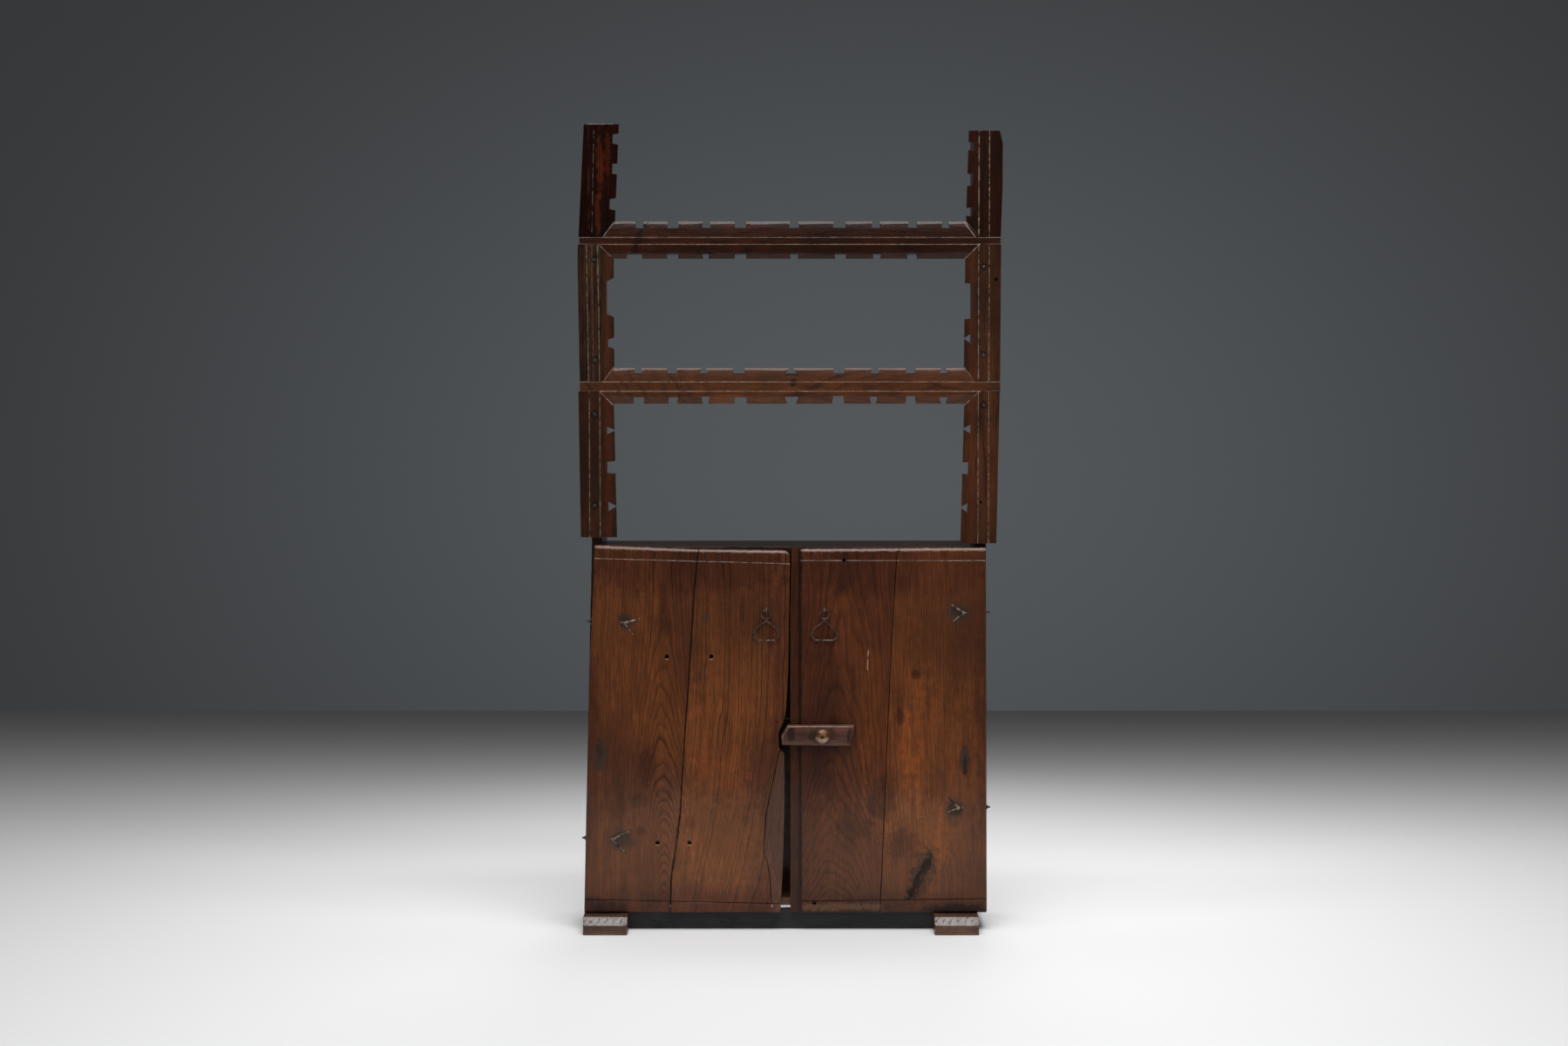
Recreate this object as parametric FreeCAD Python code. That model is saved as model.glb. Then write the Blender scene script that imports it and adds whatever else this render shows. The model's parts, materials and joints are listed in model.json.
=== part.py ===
import FreeCAD, Part
import math
import os

# Court cupboard: a two-door cupboard of broad planks whose side boards run on
# upwards and carry an open plate rack with a notched, moulded front frame.
# Millimetres. X is to the viewer's right, Y to the back, Z up. The origin is
# on the floor, under the middle of the whole object.

os.makedirs("parts", exist_ok=True)

V = FreeCAD.Vector
LEFT = -1
RIGHT = 1
SIDES = {"left": LEFT, "right": RIGHT}

# Case: side boards, shelves and back
case_depth = 230.0
case_half_width = 465.5
board_thickness = 26.0
foot_height = 41.0
counter_height = 904.0
lower_bay_height = 403.0
middle_bay_height = 303.0
upper_bay_height = 272.0
housing_depth = 7.0
top_board_thickness = 20.0
bottom_board_thickness = 18.0
bottom_board_lift = 15.5
shelf_thickness = 20.0
back_thickness = 14.0
back_plank_count = 4
back_inset = 2.0
plank_gap = 1.0

# Outer faces of the side boards as shares of the half width, and how far
# the boards rise above the upper shelf as shares of the upper bay
base_reach_shares = {LEFT: 1.044, RIGHT: 1.0}
counter_reach_shares = {LEFT: 1.0, RIGHT: 0.9893}
top_reach_shares = {LEFT: 1.0075, RIGHT: 0.9828}
board_rise_shares = {LEFT: 1.0, RIGHT: 0.9412}

# Feet and the board that stands between them
foot_width = 104.0
foot_front_reach = 90.0
foot_bevel_rise = 18.0
foot_bevel_run = 18.0
foot_corner_radius = 5.0
left_foot_inset = 1.6
right_foot_bearing = 3.0
plinth_height = 47.5
plinth_thickness = 20.0
plinth_setback = 2.0

# Front frame of the rack: six stile pieces and two rails
frame_thickness = 24.0
frame_edge_thickness = 16.0
frame_crown_share = 0.7
frame_overhang = 25.5
scribe_width = 2.4
scribe_depth = 1.2
frame_joint_gap = 0.6
notch_width = 26.0
notch_depth = 15.0
stile_width = 82.0
stile_band_width = 24.5
stile_crest = 9.0
stile_crest_shares = {LEFT: 1.0, RIGHT: 1.056}
stile_foot_lift = 23.5
stile_foot_lift_shares = {LEFT: 1.0, RIGHT: 0.4043}

# Rails: drop of the lower edge below the shelf's top, then the lower flank,
# the band that runs out as tongues, and the upper flank
top_rail_drop = 32.0
top_rail_lower_flank = 34.0
top_rail_band = 16.0
top_rail_upper_flank = 37.0
middle_rail_drop = 67.0
middle_rail_lower_flank = 30.0
middle_rail_band = 22.0
middle_rail_upper_flank = 32.0

# Places across the stiles, as shares of a stile's width in from the frame's
# side: band, bow, tongues, inner corners of the mitres, and free ends
stile_bow_share = -0.0549
stile_band_centre_shares = {LEFT: 0.4268, RIGHT: 0.4756}
tongue_end_shares = {LEFT: 0.0061, RIGHT: 0.0}
top_rail_lower_corner_shares = {LEFT: 0.9756, RIGHT: 1.0}
top_rail_upper_corner_shares = {LEFT: 1.0183, RIGHT: 0.9841}
middle_rail_lower_corner_shares = {LEFT: 0.9695, RIGHT: 1.0183}
middle_rail_upper_corner_shares = {LEFT: 0.9817, RIGHT: 1.0305}
upper_stile_outer_end_shares = {LEFT: 0.1402, RIGHT: 0.0305}
upper_stile_inner_end_shares = {LEFT: 1.1341, RIGHT: 0.9085}
upper_stile_foot_shares = {LEFT: -0.0244, RIGHT: -0.0061}
middle_stile_top_shares = {LEFT: -0.0427, RIGHT: -0.0183}
middle_stile_foot_shares = {LEFT: 0.0, RIGHT: 0.0}
lower_stile_top_shares = {LEFT: -0.0427, RIGHT: 0.0061}
lower_stile_outer_end_shares = {LEFT: 0.0183, RIGHT: 0.0915}
lower_stile_inner_end_shares = {LEFT: 1.0488, RIGHT: 1.1134}

# How far each mitre runs in under the stile, as shares of a stile's width,
# and where the mended end of the top rail is scarfed on, as shares of the
# clear width from the middle
top_rail_lower_run_shares = {LEFT: 0.4024, RIGHT: 0.439}
top_rail_upper_run_shares = {LEFT: 0.311, RIGHT: 0.3963}
middle_rail_lower_run_shares = {LEFT: 0.4146, RIGHT: 0.4695}
middle_rail_upper_run_shares = {LEFT: 0.311, RIGHT: 0.3049}
patch_top_share = -0.4034
patch_foot_share = -0.4572

# Heights, as shares of a stile piece, where its outer edge bows out most
upper_bow_shares = {LEFT: [], RIGHT: [0.5, 0.875]}
middle_bow_shares = {LEFT: [0.875], RIGHT: []}

# Notches: place along the edge, mouth, floor and depth. Places on rails are
# shares of the clear width from the middle, and on stiles of the piece's
# height from its foot. The rest are shares of the notch width and depth.
top_rail_upper_notch_shares = [
    (-0.428, 0.75, 0.60, 1.0), (-0.333, 0.95, 0.95, 1.0),
    (-0.238, 0.57, 0.77, 1.0), (-0.141, 1.00, 1.00, 1.0),
    (0.012, 0.68, 0.88, 1.0), (0.141, 1.07, 1.07, 1.0),
    (0.245, 0.57, 0.78, 1.0), (0.349, 0.76, 0.76, 1.0),
    (0.443, 0.50, 0.73, 1.0)]
top_rail_lower_notch_shares = [
    (-0.443, 1.38, 1.30, 0.9), (-0.334, 1.00, 1.00, 0.9),
    (-0.240, 0.46, 0.65, 1.0), (-0.141, 1.00, 1.00, 0.9),
    (0.012, 0.56, 0.77, 0.9), (0.144, 0.96, 0.96, 1.0),
    (0.248, 0.56, 0.80, 1.0), (0.348, 0.84, 0.84, 0.9)]
middle_rail_upper_notch_shares = [
    (-0.433, 0.45, 0.84, 1.0), (-0.337, 0.84, 0.84, 1.0),
    (-0.246, 0.33, 0.85, 1.0), (-0.146, 1.02, 1.02, 1.0),
    (0.004, 0.25, 1.27, 1.2), (0.140, 0.94, 0.94, 1.0),
    (0.243, 0.39, 0.81, 1.0), (0.344, 0.80, 0.80, 1.0),
    (0.438, 0.32, 0.86, 1.0)]
middle_rail_lower_notch_shares = [
    (-0.432, 0.94, 0.94, 1.0), (-0.334, 0.80, 0.80, 1.0),
    (-0.241, 0.46, 0.76, 1.1), (-0.141, 1.05, 1.05, 1.0),
    (0.005, 0.73, 1.23, 1.1), (0.138, 1.09, 0.90, 1.2),
    (0.239, 0.42, 0.69, 1.1), (0.345, 0.90, 0.75, 1.2),
    (0.439, 0.37, 0.77, 1.0)]
upper_stile_notch_shares = {
    LEFT: [(0.290, 1.08, 0.85, 0.95), (0.603, 0.88, 0.88, 0.75), (0.866, 0.96, 0.77, 0.87)],
    RIGHT: [(0.238, 0.65, 0.80, 0.87), (0.538, 1.04, 1.04, 0.80), (0.854, 0.68, 0.68, 0.80)]}
middle_stile_notch_shares = {
    LEFT: [(0.279, 1.00, 0.62, 0.95), (0.612, 3.50, 2.90, 1.10)],
    RIGHT: [(0.314, 0.08, 0.92, 1.10), (0.587, 3.20, 3.10, 1.03)]}
lower_stile_notch_shares = {
    LEFT: [(0.213, 0.08, 0.86, 1.23), (0.480, 1.10, 1.00, 1.27), (0.733, 0.08, 0.66, 1.17)],
    RIGHT: [(0.236, 0.08, 0.86, 0.90), (0.495, 1.04, 1.04, 0.88), (0.754, 0.08, 0.78, 1.10)]}

# Nails of the front frame, into the side boards and the lower shelf. Heights
# are shares of the stile piece that a nail holds.
middle_stile_nail_shares = {LEFT: [0.8875, 0.1562], RIGHT: [0.8344, 0.1938]}
lower_stile_nail_shares = {LEFT: [0.8394, 0.2175], RIGHT: [0.9074]}
rail_nail_place = 8.5
nail_head_length = 9.0
nail_head_width = 5.0
nail_head_height = 1.2
nail_shank_width = 3.0
nail_shank_length = 46.0

# Knot hole and peg hole of the right stiles: place across the stile and
# height in its piece, as shares
frame_hole_depth = 10.0
stile_knot_radius = 4.5
stile_knot_shares = (0.134, 0.744)
stile_peg_radius = 3.5
stile_peg_shares = (0.549, 0.2707)

# Doors
door_thickness = 25.0
door_gap = 0.5
door_foot_gap = 2.0
door_nosing_radius = 8.0
door_foot_radius = 4.0
left_door_rise = {"outer": 6.5, "joint": -3.5, "free": -6.5}
right_door_rise = {"free": -2.5, "outer": 0.5}
left_door_corner_radius = 17.0
corner_step_count = 3
left_door_edge_inset_top = 10.0
left_door_edge_inset = 3.0
left_door_shoulder_share = 0.6437
right_door_edge_inset = 4.1
meeting_line = 2.0
wear_depth = 28.0
right_door_meeting_top = 4.1
right_door_meeting_foot = 0.8
rebate_depth = 10.0
rebate_width_top = 19.5
rebate_width_foot = 27.5
door_scribe_width = 3.0
door_scribe_depth = 1.5
left_door_scribe_drop = {"outer": 30.5, "free": 31.5}
left_door_scribe_rise = {"outer": 31.0, "free": 20.0}
right_door_scribe_drop = {"free": 27.5, "outer": 30.5}
right_door_scribe_rise = {"free": 26.5, "outer": 33.0}
plank_joint_gap = 1.0
crack_gap = 1.4

# Free edge of the left door: height as a share of the door, set-back from
# the meeting line as a share of the wear. Round the turn button's bite the
# heights are shares of the button's width from its middle.
free_edge_below_bite_shares = [(0.0, 0.889), (0.1135, 0.667), (0.3066, 0.511)]
free_edge_above_bite_shares = [(0.667, 0.222), (0.8356, 0.13)]
bite_shares = [
    (-1.216, 0.537), (-0.84, 0.555), (-0.56, 1.0), (0.16, 1.0), (0.82, 0.5), (1.4, 0.37)]

# Joints between the two planks of a door and the split in the left one:
# height as a share of the door, place as a share of the case's half width.
left_plank_joint_shares = [
    (0.0, -0.606), (0.099, -0.601), (0.268, -0.556), (0.452, -0.535),
    (0.678, -0.504), (0.884, -0.482), (1.0, -0.460)]
right_plank_joint_shares = [
    (0.0, 0.455), (0.094, 0.462), (0.403, 0.485), (0.692, 0.506),
    (0.977, 0.536), (1.0, 0.549)]
crack_shares = [
    (0.451, -0.030), (0.4436, -0.053), (0.268, -0.120), (0.1615, -0.132),
    (0.140, -0.111), (0.077, -0.096), (0.0, -0.087)]

# Holes in the planks and the knots of the right door. Pegs stand at the
# battens' heights, at shares of the case's half width. Other places are
# height as a share of the door, place as a share of the half width.
peg_hole_radius = 5.0
peg_hole_depth = 17.0
left_peg_place_shares = {"upper": [-0.6198, -0.3953], "lower": [-0.6681, -0.507]}
right_door_hole_radius = 4.5
right_door_hole_shares = [(0.9731, 0.2728), (0.0263, 0.1246)]
knot_depth = 9.0
knot_height = 96.0
knot_place_shares = (0.0971, 0.6595)
knot_outline_shares = [
    (0.14, 0.48), (0.27, 0.42), (0.25, 0.22), (0.12, 0.13), (0.02, -0.10),
    (-0.07, -0.36), (-0.22, -0.48), (-0.29, -0.40), (-0.17, -0.24),
    (-0.11, 0.02), (0.01, 0.24)]
oval_knot_place_shares = (0.4225, 0.8808)
oval_knot_width = 21.0
oval_knot_height = 68.0
oval_knot_depth = 3.0

# Battens behind the doors and the nails that hold them
batten_width = 62.0
batten_thickness = 20.0
upper_batten_drop = 249.5
lower_batten_rise = 166.0
batten_end_inset = 56.0
batten_free_inset = 38.0
batten_nail_head_width = 10.0
batten_nail_crown_share = 0.45
batten_nail_head_height = 2.2
batten_nail_width = 4.0
batten_nail_bite = 15.0
batten_nail_offset_share = 0.2
batten_nail_shares = [0.06, 0.36, 0.66, 0.94]

# Hinges: pairs of linked split pins
axis_offset = 1.0
axis_standoff = 8.0
eye_radius = 5.0
eye_wire = 2.1
shank_radius = 2.6
shank_clearance = 0.1
jamb_angle = 55.0
eye_clearance = 0.5
tail_length = 50.0
tail_root_radius = 3.2
tail_tip_radius = 1.0
knuckle_radius = 4.4
jamb_tail_length = 30.0
pin_reach = 83.0
# Height as a share of the door, and reach from the axis to the tails as a
# share of the longest
pin_height_shares = {
    LEFT: {"upper": 0.8028, "lower": 0.2048},
    RIGHT: {"upper": 0.8286, "lower": 0.2902}}
pin_reach_shares = {
    LEFT: {"upper": 1.0, "lower": 0.783},
    RIGHT: {"upper": 0.675, "lower": 0.807}}
# Tails on the door's face: length as a share, and the angle above level
tail_share_angles = {
    LEFT: {"upper": [(0.76, 17.0), (0.70, -52.0)], "lower": [(1.0, 27.0), (0.96, -44.0)]},
    RIGHT: {"upper": [(0.72, 36.0), (0.66, -39.0)], "lower": [(0.76, 45.0), (0.56, -19.0)]}}

# Drop pulls: a bent wire bail linked through the eye of a staple
pull_places = {"left": -55.7, "right": 80.7}
pull_drop = 139.0
bail_wire = 1.7
bail_ring_radius = 10.8
bail_neck_drop = 27.5
bail_neck_share = 1.25
bail_shoulder_reach = 27.5
bail_shoulder_drop = 46.5
bail_side_reach = 31.5
bail_side_drop = 61.0
bail_bar_reach = 21.0
bail_bar_drop = 71.5
bail_bend_radius = 5.0
staple_eye_radius = 3.9
staple_wire = 1.5
staple_standoff = 0.3
staple_tail_length = 16.0
staple_root_share = 1.2

# Turn button of wood on a brass stud
button_place = 75.8
button_height = 461.0
button_thickness = 17.0
button_gap = 0.3
button_bevel = 4.0
button_width = 50.0
button_tip_clearance = 5.8
button_heel_reach = 74.0
button_tip_shares = [(0.98, -0.4), (1.0, 0.04), (0.85, 0.54)]
button_heel_shares = [(1.0, 0.556), (1.0, 0.18), (0.89, -0.44)]
stud_radius = 18.0
stud_dome_height = 8.5
stud_rim_height = 1.6
stud_shoulder_shares = (0.72, 0.32)
stud_pit_radius = 4.2
stud_pit_depth = 3.0
stud_pit_floor_share = 0.6
stud_shank_radius = 5.0
stud_shank_clearance = 0.3
stud_shank_bite = 18.0

overrun = 12.0


# Places worked out from the sizes above

def across_stile(shares):
    """Reach from the middle of points given in from the frame's side."""
    frame_side = case_half_width + frame_overhang
    return {side: frame_side - share * stile_width for side, share in shares.items()}


def scaled(size, shares):
    return {side: share * size for side, share in shares.items()}


front_plane = -(case_depth + back_thickness - foot_front_reach) / 2
back_plane = front_plane + case_depth
base_reach = scaled(case_half_width, base_reach_shares)
counter_reach = scaled(case_half_width, counter_reach_shares)
top_reach = scaled(case_half_width, top_reach_shares)
bottom_board_low = foot_height + bottom_board_lift
lower_shelf_top = counter_height + lower_bay_height
upper_shelf_top = lower_shelf_top + middle_bay_height
board_rise = scaled(upper_bay_height, board_rise_shares)
board_top = {side: upper_shelf_top + rise for side, rise in board_rise.items()}
stile_top = {side: board_top[side] + share * stile_crest
             for side, share in stile_crest_shares.items()}
stile_foot = {side: counter_height + share * stile_foot_lift
              for side, share in stile_foot_lift_shares.items()}

top_rail_low = upper_shelf_top - top_rail_drop
top_rail_band_low = top_rail_low + top_rail_lower_flank
top_rail_band_high = top_rail_band_low + top_rail_band
top_rail_high = top_rail_band_high + top_rail_upper_flank
middle_rail_low = lower_shelf_top - middle_rail_drop
middle_rail_band_low = middle_rail_low + middle_rail_lower_flank
middle_rail_band_high = middle_rail_band_low + middle_rail_band
middle_rail_high = middle_rail_band_high + middle_rail_upper_flank
rail_nail_height = lower_shelf_top - shelf_thickness + nail_head_width / 2

clear_width = 2 * (case_half_width + frame_overhang - stile_width)
widest_reach = case_half_width + frame_overhang - stile_bow_share * stile_width
stile_band_centre = across_stile(stile_band_centre_shares)
tongue_reach = across_stile(tongue_end_shares)
top_rail_lower_corner = across_stile(top_rail_lower_corner_shares)
top_rail_upper_corner = across_stile(top_rail_upper_corner_shares)
middle_rail_lower_corner = across_stile(middle_rail_lower_corner_shares)
middle_rail_upper_corner = across_stile(middle_rail_upper_corner_shares)
upper_stile_outer_end = across_stile(upper_stile_outer_end_shares)
upper_stile_inner_end = across_stile(upper_stile_inner_end_shares)
upper_stile_foot_reach = across_stile(upper_stile_foot_shares)
middle_stile_top_reach = across_stile(middle_stile_top_shares)
middle_stile_foot_reach = across_stile(middle_stile_foot_shares)
lower_stile_top_reach = across_stile(lower_stile_top_shares)
lower_stile_outer_end = across_stile(lower_stile_outer_end_shares)
lower_stile_inner_end = across_stile(lower_stile_inner_end_shares)
top_rail_lower_run = scaled(stile_width, top_rail_lower_run_shares)
top_rail_upper_run = scaled(stile_width, top_rail_upper_run_shares)
middle_rail_lower_run = scaled(stile_width, middle_rail_lower_run_shares)
middle_rail_upper_run = scaled(stile_width, middle_rail_upper_run_shares)
patch_top_place = patch_top_share * clear_width
patch_foot_place = patch_foot_share * clear_width

door_back = front_plane - door_gap
door_front = door_back - door_thickness
door_foot = foot_height + door_foot_gap
left_door_top_outer = counter_height + left_door_rise["outer"]
left_door_top_joint = counter_height + left_door_rise["joint"]
left_door_top_free = counter_height + left_door_rise["free"]
right_door_top_free = counter_height + right_door_rise["free"]
right_door_top_outer = counter_height + right_door_rise["outer"]
door_height = left_door_top_free - door_foot
left_door_shoulder_height = door_foot + left_door_shoulder_share * door_height
batten_heights = {"upper": left_door_top_free - upper_batten_drop,
                  "lower": door_foot + lower_batten_rise}
axis_y = front_plane - axis_standoff
pull_height = left_door_top_free - pull_drop
button_tip_reach = button_place - meeting_line + wear_depth - button_tip_clearance


def outer_face(side, height):
    """X of a side board's outer face: it leans below the counter."""
    if height < counter_height:
        low, high = foot_height, counter_height
        first, last = base_reach[side], counter_reach[side]
    else:
        low, high = counter_height, board_top[side]
        first, last = counter_reach[side], top_reach[side]
    return side * (first + (last - first) * (height - low) / (high - low))


def inner_face(side, height):
    return outer_face(side, height) - side * board_thickness


def axis_x(side, height):
    """X of a door's hinge axis, parallel to the side board."""
    low = base_reach[side]
    slope = (counter_reach[side] - low) / (counter_height - foot_height)
    return side * (low + slope * (height - foot_height) + axis_offset)


def lean_angle(side):
    run = base_reach[side] - counter_reach[side]
    return -side * math.degrees(math.atan2(run, counter_height - foot_height))


def front_prism(points, front, back):
    """A plate: an outline in the front view, from one depth to another."""
    corners = [V(x, front, z) for x, z in points]
    face = Part.Face(Part.makePolygon(corners + corners[:1]))
    return face.extrude(V(0, back - front, 0))


def box(x_range, y_range, z_range):
    corner = V(x_range[0], y_range[0], z_range[0])
    return Part.makeBox(
        x_range[1] - x_range[0], y_range[1] - y_range[0], z_range[1] - z_range[0], corner)


def fuse_all(shapes):
    return shapes[0].multiFuse(shapes[1:]).removeSplitter()


def save(name, shape):
    shape.exportStep("parts/" + name + ".step")
    print(name, "solids", len(shape.Solids), "valid", shape.isValid())


# Case

def level_board(low, thickness):
    """A board housed between the side boards."""
    middle = low + thickness / 2
    ends = [inner_face(side, middle) + side * housing_depth for side in (LEFT, RIGHT)]
    return box(ends, (front_plane, back_plane), (low, low + thickness))


def level_boards():
    return {
        "top_board": level_board(counter_height - top_board_thickness, top_board_thickness),
        "bottom_board": level_board(bottom_board_low, bottom_board_thickness),
        "rack_shelf_lower": level_board(lower_shelf_top - shelf_thickness, shelf_thickness),
        "rack_shelf_upper": level_board(upper_shelf_top - shelf_thickness, shelf_thickness)}


def side_board(side, boards):
    heights = [foot_height, counter_height, board_top[side]]
    outer = [(outer_face(side, height), height) for height in heights]
    inner = [(inner_face(side, height), height) for height in reversed(heights)]
    board = front_prism(outer + inner, front_plane, back_plane)
    cutters = list(boards.values())
    for level in ("upper", "lower"):
        cutters.append(place_hinge(jamb_shank(shank_radius + shank_clearance, overrun), side, level))
    for x, height, upright in frame_nail_places():
        cutters.append(nail_hole(x, height))
    return board.cut(cutters)


def back_plank(index):
    height = (counter_height - foot_height) / back_plank_count
    low = foot_height + index * height
    high = low + height - plank_gap
    points = []
    for side, level in ((LEFT, low), (LEFT, high), (RIGHT, high), (RIGHT, low)):
        points.append((outer_face(side, level) - side * back_inset, level))
    return front_prism(points, back_plane, back_plane + back_thickness)


def foot_ends(side):
    if side == LEFT:
        outer = outer_face(LEFT, foot_height) + left_foot_inset
        return outer, outer + foot_width
    outer = inner_face(RIGHT, foot_height) + right_foot_bearing
    return outer - foot_width, outer


def foot(side):
    """A block that runs front to back, bevelled at its front end."""
    ends = foot_ends(side)
    front = front_plane - foot_front_reach
    back = back_plane + back_thickness
    block = box(ends, (front, back), (0, foot_height))
    corners = [edge for edge in block.Edges
               if edge.BoundBox.YMax < front + foot_corner_radius
               and edge.BoundBox.ZLength > foot_bevel_rise]
    block = block.makeFillet(foot_corner_radius, corners)
    bevel = [V(0, front - overrun, foot_height - foot_bevel_rise - overrun),
             V(0, front + foot_bevel_run + overrun, foot_height + overrun),
             V(0, front - overrun, foot_height + overrun)]
    wedge = Part.Face(Part.makePolygon(bevel + bevel[:1])).extrude(V(foot_width + 2 * overrun, 0, 0))
    wedge.translate(V(ends[0] - overrun, 0, 0))
    return block.cut(wedge)


def plinth_board():
    ends = (foot_ends(LEFT)[1], foot_ends(RIGHT)[0])
    front = front_plane + plinth_setback
    return box(ends, (front, front + plinth_thickness), (0, plinth_height))


# Front frame of the rack

def moulding_section(edge_low, band_low, band_high, edge_high):
    """Half-round moulding across a frame piece: a flat band between two
    scribed lines, with a crowned flank on either side. Returns pairs of
    place across the piece and height above its back, as edges."""
    half = scribe_width / 2
    crown = frame_edge_thickness + frame_crown_share * (frame_thickness - frame_edge_thickness)

    def flat(place, height):
        return V(place, height, 0)

    low_mid = flat((edge_low + band_low) / 2, crown)
    high_mid = flat((edge_high + band_high) / 2, crown)
    low_start = flat(edge_low, frame_edge_thickness)
    low_end = flat(band_low - half, frame_thickness)
    high_start = flat(band_high + half, frame_thickness)
    high_end = flat(edge_high, frame_edge_thickness)
    chain = [low_end, flat(band_low, frame_thickness - scribe_depth),
             flat(band_low + half, frame_thickness), flat(band_high - half, frame_thickness),
             flat(band_high, frame_thickness - scribe_depth), high_start]
    edges = [Part.LineSegment(flat(edge_low, 0), low_start).toShape(),
             Part.Arc(low_start, low_mid, low_end).toShape()]
    for first, last in zip(chain, chain[1:]):
        edges.append(Part.LineSegment(first, last).toShape())
    edges.append(Part.Arc(high_start, high_mid, high_end).toShape())
    edges.append(Part.LineSegment(high_end, flat(edge_high, 0)).toShape())
    edges.append(Part.LineSegment(flat(edge_high, 0), flat(edge_low, 0)).toShape())
    return Part.Face(Part.Wire(edges))


def moulding_along_x(low, band_low, band_high, high):
    """The moulding laid along X: its places become Z, its heights -Y."""
    reach = widest_reach + overrun
    bar = moulding_section(low, band_low, band_high, high).extrude(V(0, 0, 2 * reach))
    turn = FreeCAD.Rotation(V(0, 0, 1), V(0, -1, 0), V(1, 0, 0), "ZXY")
    bar.Placement = FreeCAD.Placement(V(-reach, front_plane, 0), turn)
    return bar


def moulding_along_z(side, outer, inner):
    """The moulding stood up for a stile, between its outer and inner edge."""
    centre = stile_band_centre[side]
    half = stile_band_width / 2
    section = moulding_section(inner, centre - half, centre + half, outer)
    bar = section.extrude(V(0, 0, stile_top[LEFT] + overrun))
    if side == LEFT:
        bar = bar.mirror(V(0, 0, 0), V(1, 0, 0))
    bar = bar.mirror(V(0, 0, 0), V(0, 1, 0))
    bar.translate(V(0, front_plane, 0))
    return bar


def notched_edge(start, end, notches, axis, places):
    """Points of an edge with its notches, cut to the right of its run."""
    run = [end[0] - start[0], end[1] - start[1]]
    length = math.hypot(run[0], run[1])
    along = (run[0] / length, run[1] / length)
    inward = (along[1], -along[0])
    points = [start]
    stations = []
    for (share, mouth, floor, depth), place in zip(notches, places):
        stations.append(((place - start[axis]) / run[axis], mouth, floor, depth))
    for portion, mouth, floor, depth in sorted(stations):
        centre = (start[0] + portion * run[0], start[1] + portion * run[1])
        for width_share, sign, deep in ((mouth, -1, 0), (floor, -1, 1), (floor, 1, 1), (mouth, 1, 0)):
            step = sign * width_share * notch_width / 2
            sink = deep * depth * notch_depth
            points.append((centre[0] + along[0] * step + inward[0] * sink,
                           centre[1] + along[1] * step + inward[1] * sink))
    return points + [end]


def rail(low, band_low, band_high, high, corners, runs, upper_notches, lower_notches):
    """A rail: mitred corners, and its band running out as two tongues."""
    lower_corner, upper_corner = corners
    lower_run, upper_run = runs
    upper_places = [notch[0] * clear_width for notch in upper_notches]
    lower_places = [notch[0] * clear_width for notch in lower_notches]
    points = [(-tongue_reach[LEFT], band_low), (-tongue_reach[LEFT], band_high),
              (-upper_corner[LEFT] - upper_run[LEFT], band_high)]
    points += notched_edge((-upper_corner[LEFT], high), (upper_corner[RIGHT], high),
                           upper_notches, 0, upper_places)
    points += [(upper_corner[RIGHT] + upper_run[RIGHT], band_high),
               (tongue_reach[RIGHT], band_high), (tongue_reach[RIGHT], band_low),
               (lower_corner[RIGHT] + lower_run[RIGHT], band_low)]
    points += notched_edge((lower_corner[RIGHT], low), (-lower_corner[LEFT], low),
                           lower_notches, 0, lower_places)
    points.append((-lower_corner[LEFT] - lower_run[LEFT], band_low))
    plate = front_prism(points, front_plane - frame_thickness - overrun, front_plane + overrun)
    return plate.common(moulding_along_x(low, band_low, band_high, high))


def top_rail():
    return rail(top_rail_low, top_rail_band_low, top_rail_band_high, top_rail_high,
                (top_rail_lower_corner, top_rail_upper_corner),
                (top_rail_lower_run, top_rail_upper_run),
                top_rail_upper_notch_shares, top_rail_lower_notch_shares)


def middle_rail():
    return rail(middle_rail_low, middle_rail_band_low, middle_rail_band_high, middle_rail_high,
                (middle_rail_lower_corner, middle_rail_upper_corner),
                (middle_rail_lower_run, middle_rail_upper_run),
                middle_rail_upper_notch_shares, middle_rail_lower_notch_shares)


def patch_region(shift):
    """Everything left of the slanted joint where the top rail was mended."""
    slope = (patch_top_place - patch_foot_place) / (top_rail_high - top_rail_low)
    low = top_rail_low - overrun
    high = top_rail_high + overrun
    far = -widest_reach - overrun
    return front_prism(
        [(far, low), (far, high), (patch_top_place + slope * overrun + shift, high),
         (patch_foot_place - slope * overrun + shift, low)],
        front_plane - frame_thickness - overrun, front_plane + overrun)


def stile(side, outer_foot, inner_foot, outer_top, inner_top, notches, bow_shares):
    """A stile piece. Its ends are lists of points from outside to inside."""
    low = outer_foot[0][1]
    high = outer_top[0][1]
    places = [low + notch[0] * (high - low) for notch in notches]
    inner_start = (side * inner_top[0], inner_top[1])
    inner_end = (side * inner_foot[0], inner_foot[1])
    if side == LEFT:
        edge = notched_edge(inner_start, inner_end, notches, 1, places)
    else:
        edge = notched_edge(inner_end, inner_start, notches, 1, places)[::-1]
    bow = [(widest_reach, low + share * (high - low)) for share in bow_shares]
    outline = outer_foot[::-1] + bow + outer_top
    points = [(side * reach, height) for reach, height in outline] + edge
    plate = front_prism(points, front_plane - frame_thickness - overrun, front_plane + overrun)
    outer = max(reach for reach, height in outline)
    inner = min(inner_foot[0], inner_top[0])
    return plate.common(moulding_along_z(side, outer, inner))


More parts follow.
